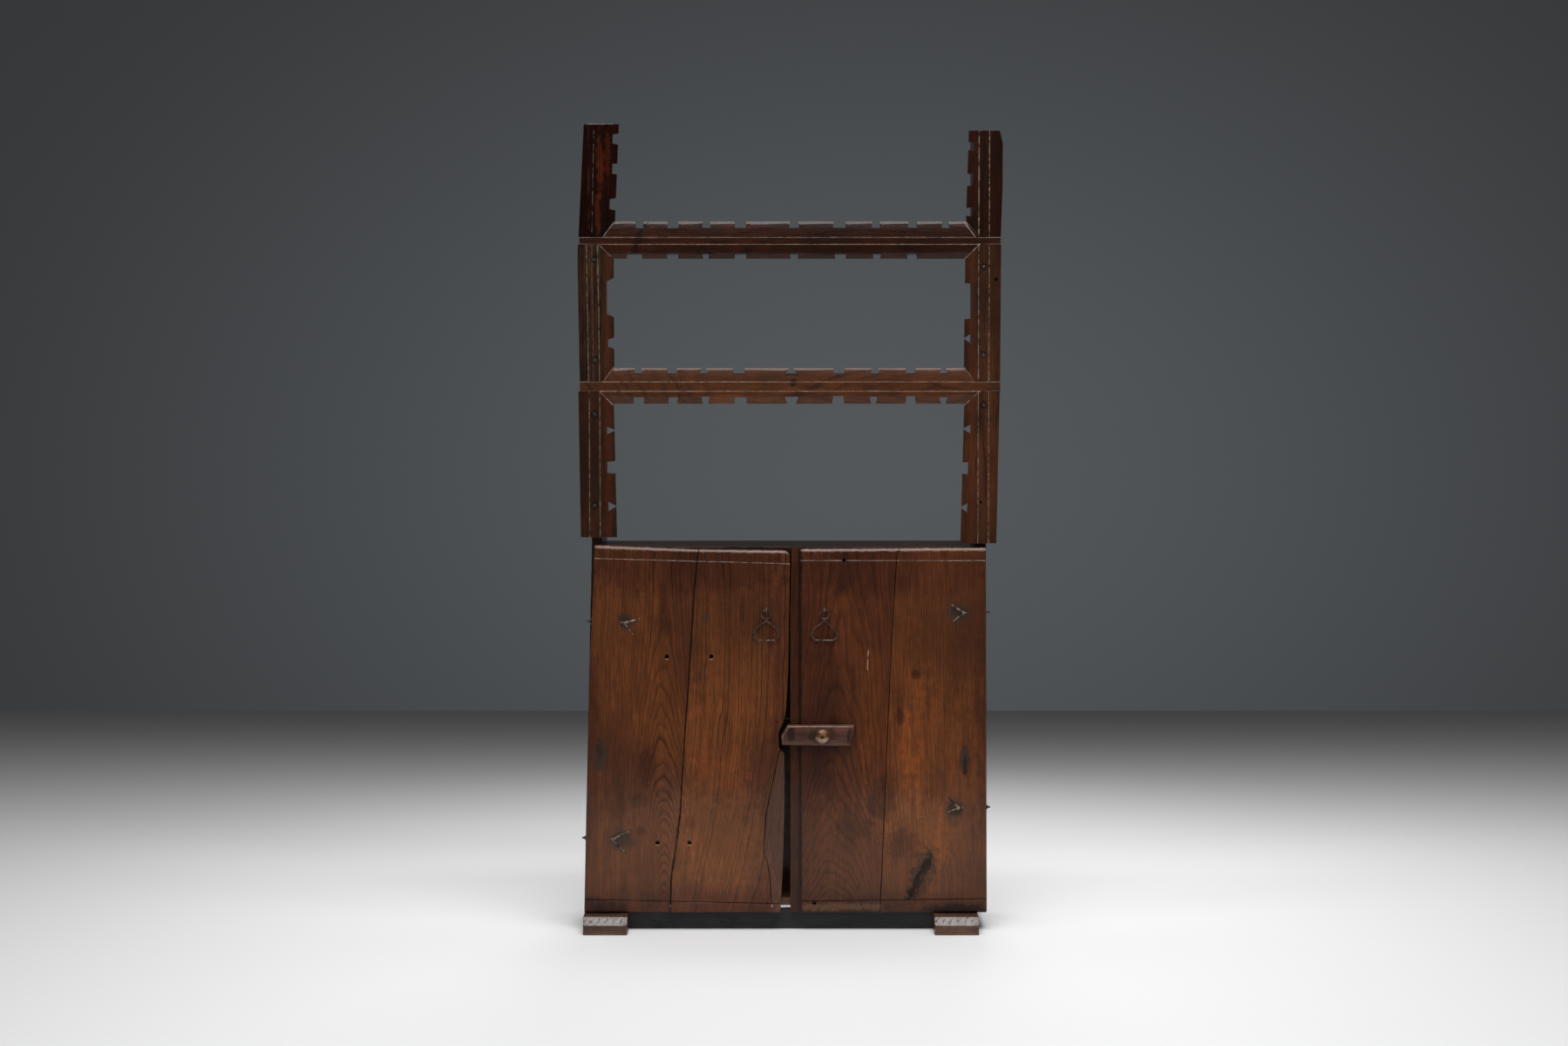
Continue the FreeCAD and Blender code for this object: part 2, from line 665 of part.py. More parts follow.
def upper_stile(side):
    low = top_rail_band_high + frame_joint_gap
    high = stile_top[side]
    corner = top_rail_upper_corner[side]
    ends = [(upper_stile_foot_reach[side], low), (corner + top_rail_upper_run[side], low)]
    return stile(side, ends, (corner, top_rail_high + frame_joint_gap),
                 [(upper_stile_outer_end[side], high)], (upper_stile_inner_end[side], high),
                 upper_stile_notch_shares[side], upper_bow_shares[side])


def middle_stile(side):
    low = middle_rail_band_high + frame_joint_gap
    high = top_rail_band_low - frame_joint_gap
    foot_corner = middle_rail_upper_corner[side]
    top_corner = top_rail_lower_corner[side]
    ends = [(middle_stile_foot_reach[side], low),
            (foot_corner + middle_rail_upper_run[side], low)]
    tops = [(middle_stile_top_reach[side], high),
            (top_corner + top_rail_lower_run[side], high)]
    return stile(side, ends, (foot_corner, middle_rail_high + frame_joint_gap), tops,
                 (top_corner, top_rail_low - frame_joint_gap),
                 middle_stile_notch_shares[side], middle_bow_shares[side])


def lower_stile(side):
    low = stile_foot[side]
    high = middle_rail_band_low - frame_joint_gap
    top_corner = middle_rail_lower_corner[side]
    ends = [(lower_stile_outer_end[side], low)]
    tops = [(lower_stile_top_reach[side], high),
            (top_corner + middle_rail_lower_run[side], high)]
    return stile(side, ends, (lower_stile_inner_end[side], low), tops,
                 (top_corner, middle_rail_low - frame_joint_gap),
                 lower_stile_notch_shares[side], [])


def frame_hole(shares, low, high, radius):
    """A round hole in the face of a right stile, at its shares."""
    x = across_stile({RIGHT: shares[0]})[RIGHT]
    front = front_plane - frame_thickness - overrun
    height = low + shares[1] * (high - low)
    return Part.makeCylinder(radius, overrun + frame_hole_depth, V(x, front, height), V(0, 1, 0))


def nail_hole(x, height):
    front = front_plane - frame_thickness - overrun
    back = front_plane - frame_thickness + nail_shank_length
    half = nail_shank_width / 2
    return box((x - half, x + half), (front, back), (height - half, height + half))


def frame_nail(x, height, upright):
    """A nail with a flat oblong head, seated on the frame's flat band."""
    face = front_plane - frame_thickness
    across, tall = nail_head_length, nail_head_width
    if upright:
        across, tall = tall, across
    head = box((x - across / 2, x + across / 2), (face - nail_head_height, face),
               (height - tall / 2, height + tall / 2))
    half = nail_shank_width / 2
    shank = box((x - half, x + half), (face, face + nail_shank_length), (height - half, height + half))
    return fuse_all([head, shank])


def frame_nail_places():
    places = []
    for side in (LEFT, RIGHT):
        x = side * stile_band_centre[side]
        spans = [(middle_rail_band_high, top_rail_band_low, middle_stile_nail_shares[side]),
                 (stile_foot[side], middle_rail_band_low, lower_stile_nail_shares[side])]
        for low, high, shares in spans:
            places += [(x, low + share * (high - low), False) for share in shares]
    places.append((rail_nail_place, rail_nail_height, True))
    return places


# Hinges, in the frame of a pin: X towards the door, Y back, Z up the axis

def place_hinge(shape, side, level):
    if side == RIGHT:
        shape = shape.mirror(V(0, 0, 0), V(1, 0, 0))
    height = door_foot + pin_height_shares[side][level] * door_height
    shape.rotate(V(0, 0, 0), V(0, 1, 0), lean_angle(side))
    shape.translate(V(axis_x(side, height), axis_y, height))
    return shape


def half_tail(root, direction, length, outward):
    """A clenched tail: half of a taper, lying flat on the wood."""
    taper = Part.makeCone(tail_root_radius, tail_tip_radius, length, root, direction)
    size = length + tail_root_radius
    slab = Part.makeBox(2 * size, 2 * size, size, V(-size, -size, 0))
    slab.Placement = FreeCAD.Placement(root, FreeCAD.Rotation(V(0, 0, 1), outward))
    return taper.common(slab)


def knuckle(root, outward):
    ball = Part.makeSphere(knuckle_radius, root)
    size = knuckle_radius
    slab = Part.makeBox(2 * size, 2 * size, size, V(-size, -size, 0))
    slab.Placement = FreeCAD.Placement(root, FreeCAD.Rotation(V(0, 0, 1), outward))
    return ball.common(slab)


def jamb_direction():
    angle = math.radians(jamb_angle)
    return V(math.cos(angle), math.sin(angle), 0)


def jamb_exit():
    """Where the jamb pin comes out of the side board's inner face."""
    reach = axis_offset + board_thickness
    return jamb_direction() * (reach / math.cos(math.radians(jamb_angle)))


def jamb_shank(radius, extra):
    direction = jamb_direction()
    length = jamb_exit().Length - eye_radius + extra
    return Part.makeCylinder(radius, length, direction * eye_radius, direction)


def jamb_pin():
    """A split pin through the side board, its level eye round the axis."""
    inner = axis_offset + board_thickness
    shank = jamb_shank(shank_radius, overrun)
    size = jamb_exit().Length + overrun
    shank = shank.common(box((-size, inner), (-size, size), (-size, size)))
    pieces = [Part.makeTorus(eye_radius, eye_wire), shank, knuckle(jamb_exit(), V(1, 0, 0))]
    for sign in (-1, 1):
        pieces.append(half_tail(jamb_exit(), V(0, 0, sign), jamb_tail_length, V(1, 0, 0)))
    return fuse_all(pieces)


def pin_hole_end(side, level):
    """Where a door's pin comes out of the door's face."""
    reach = pin_reach_shares[side][level] * pin_reach
    return V(reach, axis_standoff - door_gap - door_thickness, 0)


def door_shank(side, level, radius, extra):
    start = V(2 * eye_radius, 0, 0)
    path = pin_hole_end(side, level) - start
    direction = V(path)
    direction.normalize()
    return Part.makeCylinder(radius, path.Length + extra, start, direction)


def door_pin(side, level):
    """A split pin through the door, its upright eye linked in the jamb's."""
    end = pin_hole_end(side, level)
    eye = Part.makeTorus(eye_radius, eye_wire, V(eye_radius, 0, 0), V(0, 1, 0))
    shank = door_shank(side, level, shank_radius, overrun)
    size = end.Length + overrun
    shank = shank.common(box((-size, size), (end.y, size), (-size, size)))
    pieces = [eye, shank, knuckle(end, V(0, -1, 0))]
    for share, angle in tail_share_angles[side][level]:
        turn = math.radians(angle)
        direction = V(math.cos(turn), 0, math.sin(turn))
        pieces.append(half_tail(end, direction, share * tail_length, V(0, -1, 0)))
    return fuse_all(pieces)


def hinge_cutters(side, level):
    """Room in a door for its own pin, the jamb's eye and the jamb's shank."""
    reach = 2 * eye_radius + eye_wire + eye_clearance
    tall = eye_radius + eye_wire + eye_clearance
    wide = eye_wire + eye_clearance
    slot = box((-overrun, reach), (-wide, wide), (-tall, tall))
    disc = Part.makeCylinder(eye_radius + eye_wire + eye_clearance, 2 * wide, V(0, 0, -wide))
    sweep = axis_standoff / math.sin(math.radians(jamb_angle)) + shank_radius
    room = shank_radius + eye_clearance
    relief = Part.makeCylinder(sweep, 2 * room, V(0, 0, -room))
    relief = relief.common(box((-sweep, sweep), (0, sweep), (-room, room)))
    hole = door_shank(side, level, shank_radius + shank_clearance, overrun)
    return [place_hinge(shape, side, level) for shape in (slot, disc, relief, hole)]


# Doors

def door_point(height_share, half_width_share):
    return (half_width_share * case_half_width, door_foot + height_share * door_height)


def free_edge_x(wear_share):
    return meeting_line - wear_share * wear_depth


def left_door_outline():
    foot = [(axis_x(LEFT, door_foot) + left_door_edge_inset, door_foot)]
    shoulder = [(axis_x(LEFT, left_door_shoulder_height) + left_door_edge_inset,
                 left_door_shoulder_height)]
    top = [(axis_x(LEFT, left_door_top_outer) + left_door_edge_inset_top, left_door_top_outer),
           (left_plank_joint_shares[-1][1] * case_half_width, left_door_top_joint)]
    free = []
    corner = left_door_corner_radius
    corner_x = free_edge_x(free_edge_above_bite_shares[-1][1] / 2) - corner
    for step in range(corner_step_count + 1):
        turn = math.pi / 2 * (1 - step / corner_step_count)
        free.append((corner_x + corner * math.cos(turn),
                     left_door_top_free - corner + corner * math.sin(turn)))
    for height_share, wear_share in free_edge_above_bite_shares[::-1]:
        free.append((free_edge_x(wear_share), door_foot + height_share * door_height))
    for rise_share, wear_share in bite_shares[::-1]:
        free.append((free_edge_x(wear_share), button_height + rise_share * button_width))
    for height_share, wear_share in free_edge_below_bite_shares[::-1]:
        free.append((free_edge_x(wear_share), door_foot + height_share * door_height))
    return foot + shoulder + top + free


def right_door_outline():
    return [(right_door_meeting_foot, door_foot),
            (right_door_meeting_foot, pull_height),
            (right_door_meeting_top, right_door_top_free),
            (axis_x(RIGHT, right_door_top_outer) - right_door_edge_inset, right_door_top_outer),
            (axis_x(RIGHT, door_foot) - right_door_edge_inset, door_foot)]


def ease_front(leaf, lowest_top, top_radius, foot_radius):
    """Rounds the front arrises along a door's top and foot."""
    def on_front(edge):
        return edge.BoundBox.YMax < door_front + door_gap

    top = [edge for edge in leaf.Edges
           if on_front(edge) and edge.BoundBox.ZMin > lowest_top]
    leaf = leaf.makeFillet(top_radius, top)
    foot = [edge for edge in leaf.Edges
            if on_front(edge) and edge.BoundBox.ZMax < door_foot + foot_radius]
    return leaf.makeFillet(foot_radius, foot)


def scribe(x_range, heights):
    """A scribed line across a door, as a shallow V."""
    half = door_scribe_width / 2
    run = V(x_range[1] - x_range[0], 0, heights[1] - heights[0])
    start = V(x_range[0], door_front, heights[0])
    corners = [start + V(0, -door_scribe_depth, -door_scribe_width),
               start + V(0, -door_scribe_depth, door_scribe_width),
               start + V(0, door_scribe_depth, 0)]
    return Part.Face(Part.makePolygon(corners + corners[:1])).extrude(run)


def right_of(shares, shift):
    """The part of the space right of a joint line, shifted by a gap."""
    line = [door_point(height, place) for height, place in shares]
    foot = (line[0][0], door_foot - overrun)
    top = (line[-1][0], left_door_top_outer + overrun)
    far = widest_reach + overrun
    points = [foot] + line + [top, (far, top[1]), (far, foot[1])]
    region = front_prism(points, door_front - overrun, door_back + overrun)
    region.translate(V(shift, 0, 0))
    return region


def split_region(shift):
    """The strip that has split off the left door's free edge."""
    line = [door_point(height, place) for height, place in crack_shares]
    start = (right_door_meeting_top + overrun, line[0][1])
    end = (line[-1][0], door_foot - overrun)
    points = [start] + line + [end, (start[0], end[1])]
    region = front_prism(points, door_front - overrun, door_back + overrun)
    region.translate(V(-shift, 0, shift))
    return region


def front_hole(x, height, radius, depth):
    return Part.makeCylinder(radius, depth + overrun, V(x, door_front - overrun, height), V(0, 1, 0))


def batten_ends(side):
    if side == LEFT:
        return (-case_half_width + batten_end_inset, -batten_free_inset)
    return (batten_free_inset, case_half_width - batten_end_inset)


def batten(side, level):
    height = batten_heights[level]
    return box(batten_ends(side), (door_back, door_back + batten_thickness),
               (height - batten_width / 2, height + batten_width / 2))


def batten_nail_places(side, level):
    ends = batten_ends(side)
    places = []
    for index, share in enumerate(batten_nail_shares):
        side_step = 1 if index % 2 else -1
        height = batten_heights[level] + side_step * batten_nail_offset_share * batten_width
        places.append((ends[0] + share * (ends[1] - ends[0]), height))
    return places


def batten_nail(x, height):
    """A square forged nail, its hammered head low and four-sided."""
    back = door_back + batten_thickness
    base = batten_nail_head_width / 2
    crown = base * batten_nail_crown_share
    head = Part.makeWedge(-base, 0, -base, -crown, -crown,
                          base, batten_nail_head_height, base, crown, crown)
    head.translate(V(x, back, height))
    half = batten_nail_width / 2
    shank = box((x - half, x + half), (door_back - batten_nail_bite, back),
                (height - half, height + half))
    return fuse_all([head, shank])


def batten_nails(side):
    return [batten_nail(x, height)
            for level in ("upper", "lower")
            for x, height in batten_nail_places(side, level)]


def knot_void():
    x, height = door_point(*knot_place_shares)
    points = [(x + across * knot_height, height + up * knot_height)
              for across, up in knot_outline_shares]
    return front_prism(points, door_front - overrun, door_front + knot_depth)


def oval_knot():
    disc = Part.makeCylinder(oval_knot_width / 2, oval_knot_depth + overrun,
                             V(0, 0, 0), V(0, 1, 0))
    stretch = FreeCAD.Matrix()
    stretch.A33 = oval_knot_height / oval_knot_width
    disc = disc.transformGeometry(stretch)
    x, height = door_point(*oval_knot_place_shares)
    disc.translate(V(x, door_front - overrun, height))
    return disc


def left_door_leaf():
    leaf = front_prism(left_door_outline(), door_front, door_back)
    leaf = ease_front(leaf, left_door_top_free - door_nosing_radius, door_nosing_radius, door_foot_radius)
    span = (-widest_reach, overrun)
    cutters = [scribe(span, (left_door_top_outer - left_door_scribe_drop["outer"],
                             left_door_top_free - left_door_scribe_drop["free"])),
               scribe(span, (door_foot + left_door_scribe_rise["outer"],
                             door_foot + left_door_scribe_rise["free"]))]
    for level, shares in left_peg_place_shares.items():
        for share in shares:
            cutters.append(front_hole(share * case_half_width, batten_heights[level],
                                      peg_hole_radius, peg_hole_depth))
    return leaf.cut(cutters + door_fitting_cutters(LEFT, "left"))


def right_door_leaf():
    leaf = front_prism(right_door_outline(), door_front, door_back)
    leaf = ease_front(leaf, right_door_top_free - door_nosing_radius, door_nosing_radius, door_foot_radius)
    rebate = front_prism(
        [(-overrun, door_foot - overrun), (-overrun, right_door_top_outer + overrun),
         (right_door_meeting_top + rebate_width_top, right_door_top_outer + overrun),
         (right_door_meeting_foot + rebate_width_foot, door_foot - overrun)],
        door_front - overrun, door_front + rebate_depth)
    span = (0, widest_reach)
    cutters = [rebate, knot_void(), oval_knot(),
               scribe(span, (right_door_top_free - right_door_scribe_drop["free"],
                             right_door_top_outer - right_door_scribe_drop["outer"])),
               scribe(span, (door_foot + right_door_scribe_rise["free"],
                             door_foot + right_door_scribe_rise["outer"]))]
    for height_share, place_share in right_door_hole_shares:
        x, height = door_point(height_share, place_share)
        cutters.append(front_hole(x, height, right_door_hole_radius, peg_hole_depth))
    cutters.append(front_hole(button_place, button_height, stud_shank_radius, stud_shank_bite))
    return leaf.cut(cutters + door_fitting_cutters(RIGHT, "right"))


def door_fitting_cutters(side, name):
    """Holes for the hinge pins, the staple and the battens' nails."""
    cutters = hinge_cutters(side, "upper") + hinge_cutters(side, "lower")
    cutters.append(Part.makeCylinder(staple_wire + shank_clearance, door_thickness + 2 * overrun,
                                     V(pull_places[name], door_front - overrun, pull_height), V(0, 1, 0)))
    return cutters + batten_nails(side)


# Drop pulls

def rounded_loop(points, radii):
    """A closed plane path: straight runs joined by tangent arcs."""
    count = len(points)
    entries = []
    for index in range(count):
        here = points[index]
        back = (points[index - 1] - here).normalize()
        ahead = (points[(index + 1) % count] - here).normalize()
        half = back.getAngle(ahead) / 2
        trim = radii[index] / math.tan(half)
        middle = (back + ahead).normalize()
        crest = here + middle * (radii[index] / math.sin(half) - radii[index])
        entries.append((here + back * trim, crest, here + ahead * trim))
    edges = []
    for index in range(count):
        start, crest, end = entries[index]
        following = entries[(index + 1) % count][0]
        edges.append(Part.Arc(start, crest, end).toShape())
        edges.append(Part.LineSegment(end, following).toShape())
    return Part.Wire(edges)


def wire_along(path, radius):
    """Round wire along a closed path that starts with an arc."""
    straight = path.Edges[1]
    start = straight.valueAt(straight.FirstParameter)
    direction = straight.tangentAt(straight.FirstParameter)
    profile = Part.Wire(Part.makeCircle(radius, start, direction))
    edges = path.Edges[1:] + path.Edges[:1]
    return Part.Wire(edges).makePipeShell([profile], True, True)


def bail(name):
    """A ring through the staple's eye with a hanging loop below it."""
    x = pull_places[name]
    y = staple_eye_y()

    def at(place, drop):
        return V(x + place, y, pull_height - drop)

    points = [at(0, bail_neck_drop - bail_wire), at(bail_shoulder_reach, bail_shoulder_drop),
              at(bail_side_reach, bail_side_drop), at(bail_bar_reach, bail_bar_drop),
              at(-bail_bar_reach, bail_bar_drop), at(-bail_side_reach, bail_side_drop),
              at(-bail_shoulder_reach, bail_shoulder_drop)]
    bend = bail_bend_radius
    radii = [bend / 2, bend, bend, bend, bend, bend, bend]
    loop = wire_along(rounded_loop(points, radii), bail_wire)
    ring = Part.makeTorus(bail_ring_radius, bail_wire, at(0, bail_ring_radius), V(0, 1, 0))
    neck = Part.makeSphere(bail_wire * bail_neck_share, at(0, bail_ring_radius + bail_neck_drop / 2))
    return fuse_all([ring, neck, loop])


def staple_eye_y():
    return door_front - staple_eye_radius - staple_wire - staple_standoff


def staple(name):
    """An upright eye on the door's face, clenched behind the door."""
    centre = V(pull_places[name], staple_eye_y(), pull_height)
    eye = Part.makeTorus(staple_eye_radius, staple_wire, centre, V(1, 0, 0))
    start = centre + V(0, staple_eye_radius, 0)
    end = V(centre.x, door_back, centre.z)
    pieces = [eye, Part.makeCylinder(staple_wire, (end - start).Length, start, V(0, 1, 0))]
    slab = box((end.x - staple_tail_length, end.x + staple_tail_length),
               (door_back, door_back + staple_tail_length),
               (end.z - 2 * staple_tail_length, end.z + 2 * staple_tail_length))
    for sign in (-1, 1):
        taper = Part.makeCone(staple_wire * staple_root_share, staple_wire / 2,
                              staple_tail_length, end, V(0, 0, sign))
        pieces.append(taper.common(slab))
    return fuse_all(pieces)


# Turn button

def turn_button():
    """A bevelled bar whose tip is cut back to pass the left door."""
    back = door_front - button_gap
    front = back - button_thickness
    points = []
    for reach_share, rise_share in button_tip_shares:
        points.append((button_place - reach_share * button_tip_reach,
                       button_height + rise_share * button_width))
    for reach_share, rise_share in button_heel_shares:
        points.append((button_place + reach_share * button_heel_reach,
                       button_height + rise_share * button_width))
    bar = front_prism(points, front, back)
    arrises = [edge for edge in bar.Edges if edge.BoundBox.YMax < front + button_gap]
    bar = bar.makeChamfer(button_bevel, arrises)
    bore = Part.makeCylinder(stud_shank_radius + stud_shank_clearance, button_thickness + 2 * overrun,
                             V(button_place, front - overrun, button_height), V(0, 1, 0))
    return bar.cut(bore)


def button_stud():
    """A domed brass stud with a pit in its crown, turned about its shank."""
    face = door_front - button_gap - button_thickness - stud_shank_clearance
    crown = face - stud_rim_height - stud_dome_height
    end = door_front + stud_shank_bite

    def at(radius, depth):
        return V(radius, depth, 0)

    rim = at(stud_radius, face - stud_rim_height)
    lip = at(stud_pit_radius, crown)
    shoulder = at(stud_radius * stud_shoulder_shares[0],
                  crown + stud_dome_height * stud_shoulder_shares[1])
    floor = at(stud_pit_radius * stud_pit_floor_share, crown + stud_pit_depth)
    axis = at(0, crown + stud_pit_depth)
    edges = [Part.LineSegment(axis, floor), Part.LineSegment(floor, lip), Part.Arc(lip, shoulder, rim)]
    outline = [rim, at(stud_radius, face), at(stud_shank_radius, face),
               at(stud_shank_radius, end), at(0, end), axis]
    edges += [Part.LineSegment(first, last) for first, last in zip(outline, outline[1:])]
    section = Part.Face(Part.Wire([edge.toShape() for edge in edges]))
    stud = section.revolve(V(0, 0, 0), V(0, 1, 0), 360)
    stud.translate(V(button_place, 0, button_height))
    return stud


# Writing the pieces

def write_case():
    boards = level_boards()
    holes = [nail_hole(x, height) for x, height, upright in frame_nail_places()]
    for name, board in boards.items():
        save(name, board.cut(holes))
    for name, side in SIDES.items():
        save("side_board_" + name, side_board(side, boards))
        save("foot_" + name, foot(side))
    save("plinth_board", plinth_board())
    for index in range(back_plank_count):
        save("back_plank_" + str(index + 1), back_plank(index))


def write_frame():
    holes = [nail_hole(x, height) for x, height, upright in frame_nail_places()]
    rail_piece = top_rail()
    save("top_rail_patch", rail_piece.common(patch_region(0)))
    save("top_rail", rail_piece.cut(patch_region(frame_joint_gap)))
    save("middle_rail", middle_rail().cut(holes))
    knot = frame_hole(stile_knot_shares, middle_rail_band_high, top_rail_band_low, stile_knot_radius)
    peg = frame_hole(stile_peg_shares, stile_foot[RIGHT], middle_rail_band_low, stile_peg_radius)
    for name, side in SIDES.items():
        save(name + "_stile_upper", upper_stile(side))
        save(name + "_stile_middle", middle_stile(side).cut(holes + [knot]))
        save(name + "_stile_lower", lower_stile(side).cut(holes + [peg]))
    nails = [frame_nail(x, height, upright) for x, height, upright in frame_nail_places()]
    save("rack_nails", Part.makeCompound(nails))


def write_hinges():
    for name, side in SIDES.items():
        for level in ("upper", "lower"):
            save("jamb_pin_" + name + "_" + level, place_hinge(jamb_pin(), side, level))
            save(name + "_door_pin_" + level, place_hinge(door_pin(side, level), side, level))


def write_doors():
    leaf = left_door_leaf()
    inner = leaf.common(right_of(left_plank_joint_shares, plank_joint_gap))
    save("left_door_outer_plank", leaf.cut(right_of(left_plank_joint_shares, 0)))
    save("left_door_inner_plank", inner.cut(split_region(crack_gap)))
    save("left_door_split_strip", inner.common(split_region(0)))
    leaf = right_door_leaf()
    save("right_door_inner_plank", leaf.cut(right_of(right_plank_joint_shares, 0)))
    save("right_door_outer_plank", leaf.common(right_of(right_plank_joint_shares, plank_joint_gap)))
    for name, side in SIDES.items():
        nails = batten_nails(side)
        for level in ("upper", "lower"):
            save(name + "_door_batten_" + level, batten(side, level).cut(nails))
        save(name + "_door_batten_nails", Part.makeCompound(nails))
        save(name + "_door_staple", staple(name))
        save(name + "_bail", bail(name))
    save("turn_button", turn_button())
    save("turn_button_stud", button_stud())


write_case()
write_frame()
write_hinges()
write_doors()
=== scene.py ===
# %% [markdown]
# # Dressing an old court cupboard
#
# The solids of this cupboard come from a CAD program: planks, a rack frame of
# notched moulding, linked split-pin hinges, drop pulls and a turn button. Here
# each piece gets the wear and the finish of the real one. Boards are copied,
# their arrises eased and their faces made a little uneven, because no hand
# planed plank is true. Nails and worm holes repeat, so Geometry Nodes make them.

# %% Load the solids
import bpy
import bmesh
import json
import math
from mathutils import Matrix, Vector, noise

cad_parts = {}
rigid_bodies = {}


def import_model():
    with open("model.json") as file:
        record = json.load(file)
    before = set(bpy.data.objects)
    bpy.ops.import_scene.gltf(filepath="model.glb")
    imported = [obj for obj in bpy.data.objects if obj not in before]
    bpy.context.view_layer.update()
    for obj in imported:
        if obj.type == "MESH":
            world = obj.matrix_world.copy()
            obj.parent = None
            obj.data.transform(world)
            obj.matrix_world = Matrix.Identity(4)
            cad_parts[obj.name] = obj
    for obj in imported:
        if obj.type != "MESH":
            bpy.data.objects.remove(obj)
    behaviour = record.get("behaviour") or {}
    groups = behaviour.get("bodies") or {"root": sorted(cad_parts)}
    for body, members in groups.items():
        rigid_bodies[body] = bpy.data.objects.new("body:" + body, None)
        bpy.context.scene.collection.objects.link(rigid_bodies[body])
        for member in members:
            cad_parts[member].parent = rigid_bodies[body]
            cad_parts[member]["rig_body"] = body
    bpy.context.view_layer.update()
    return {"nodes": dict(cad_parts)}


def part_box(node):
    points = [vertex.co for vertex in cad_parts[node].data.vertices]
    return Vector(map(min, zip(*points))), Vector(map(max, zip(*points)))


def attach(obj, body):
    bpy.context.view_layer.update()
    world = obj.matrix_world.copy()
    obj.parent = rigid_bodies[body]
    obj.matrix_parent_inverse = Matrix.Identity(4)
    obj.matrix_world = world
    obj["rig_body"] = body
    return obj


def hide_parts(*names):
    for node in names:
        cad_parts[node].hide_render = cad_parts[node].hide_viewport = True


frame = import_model()
MM = 0.001

# %% [markdown]
# ## Reading the solids
#
# A solid's mesh arrives as loose triangles. Welding the points joins them, and
# then the separate nails of one node can be told apart and their places read.
# The finishes need those places, because iron stains the oak round it black.

# %% Functions: welded copies and nail places
WELD = 0.00001


def welded(node):
    shape = bmesh.new()
    shape.from_mesh(frame["nodes"][node].data)
    bmesh.ops.remove_doubles(shape, verts=shape.verts, dist=WELD)
    return shape


def islands(shape):
    """The separate solids of a mesh, each as a list of its points."""
    left = set(shape.verts)
    found = []
    for first in shape.verts:
        if first not in left:
            continue
        left.discard(first)
        batch = [first]
        group = []
        while batch:
            vert = batch.pop()
            group.append(vert)
            for edge in vert.link_edges:
                other = edge.other_vert(vert)
                if other in left:
                    left.discard(other)
                    batch.append(other)
        found.append(group)
    return found


def nail_points(node):
    """For each nail: the middle of its head's outer face, which looks to the front.

    The places are sorted, so each nail draws the same random turn in every run.
    """
    shape = welded(node)
    points = []
    for group in islands(shape):
        front = min(vert.co.y for vert in group)
        head = [vert.co for vert in group if vert.co.y < front + 4.0 * MM]
        middle = sum(head, Vector()) / len(head)
        points.append(Vector((middle.x, front, middle.z)))
    shape.free()
    return sorted(points, key=lambda point: (round(point.z, 4), round(point.x, 4)))


frame_nails = nail_points("rack_nails")
print("frame nails", len(frame_nails))

# %% [markdown]
# ## The photographer's place
#
# The cupboard was photographed from eight and a half metres away with a long
# lens, a little above the middle and tipped slightly down. A long lens keeps
# upright edges upright, so the same distance matters as much as the angle.

# %% Camera
SENSOR_WIDTH = 36
LENS = 83.35
EYE = (-0.0138, -8.577, 1.48)
EYE_TILT = 86.5


def new_object(name, data):
    """A new object, linked to the scene."""
    thing = bpy.data.objects.new(name, data)
    bpy.context.scene.collection.objects.link(thing)
    return thing


camera_data = bpy.data.cameras.new("studio_camera")
camera_data.sensor_width = SENSOR_WIDTH
camera_data.lens = LENS
camera = new_object("studio_camera", camera_data)
camera.location = EYE
camera.rotation_euler = (math.radians(EYE_TILT), 0, 0)
bpy.context.scene.camera = camera
bpy.context.scene.view_settings.view_transform = "Standard"
print("camera lens", camera_data.lens)

# %% [markdown]
# ## Small helpers for node trees
#
# Every finish below is a node tree. Writing `times(tree, a, b)` reads better
# than making a node and three links each time, so the helpers take either a
# socket or a plain number for each input.

# %% Node helpers
SOCKETS = {float: "NodeSocketFloat", int: "NodeSocketInt", tuple: "NodeSocketVector"}


def feed(tree, socket, value):
    if isinstance(value, bpy.types.NodeSocket):
        tree.links.new(value, socket)
    else:
        socket.default_value = value


def fill(tree, node, inputs):
    for key, value in inputs.items():
        feed(tree, node.inputs[key], value)
    return node


def place(tree, kind, inputs=(), **settings):
    node = tree.nodes.new(kind)
    for name, value in settings.items():
        setattr(node, name, value)
    return fill(tree, node, dict(inputs))


def math_step(tree, operation, *values):
    return place(tree, "ShaderNodeMath", dict(enumerate(values)), operation=operation).outputs[0]


def times(tree, first, second):
    return math_step(tree, "MULTIPLY", first, second)


def plus(tree, first, second):
    return math_step(tree, "ADD", first, second)


def minus(tree, first, second):
    return math_step(tree, "SUBTRACT", first, second)


def times_plus(tree, first, second, third):
    return math_step(tree, "MULTIPLY_ADD", first, second, third)


def vector_step(tree, operation, *values, output="Vector"):
    node = place(tree, "ShaderNodeVectorMath", dict(enumerate(values)), operation=operation)
    return node.outputs[output]


def scaled(tree, vector, factor):
    node = place(tree, "ShaderNodeVectorMath", {0: vector, "Scale": factor}, operation="SCALE")
    return node.outputs["Vector"]


def stretched(tree, vector, share):
    """Places squeezed along the grain, so that noise read there makes streaks."""
    return vector_step(tree, "MULTIPLY", vector, (1, 1, share))


def parts_of(tree, vector):
    return place(tree, "ShaderNodeSeparateXYZ", {0: vector}).outputs


def joined(tree, *parts):
    return place(tree, "ShaderNodeCombineXYZ", dict(enumerate(parts))).outputs[0]


def blend_colour(tree, share, first, second, kind="MIX"):
    node = place(tree, "ShaderNodeMix", {0: share, 6: first, 7: second}, data_type="RGBA", blend_type=kind)
    return node.outputs[2]


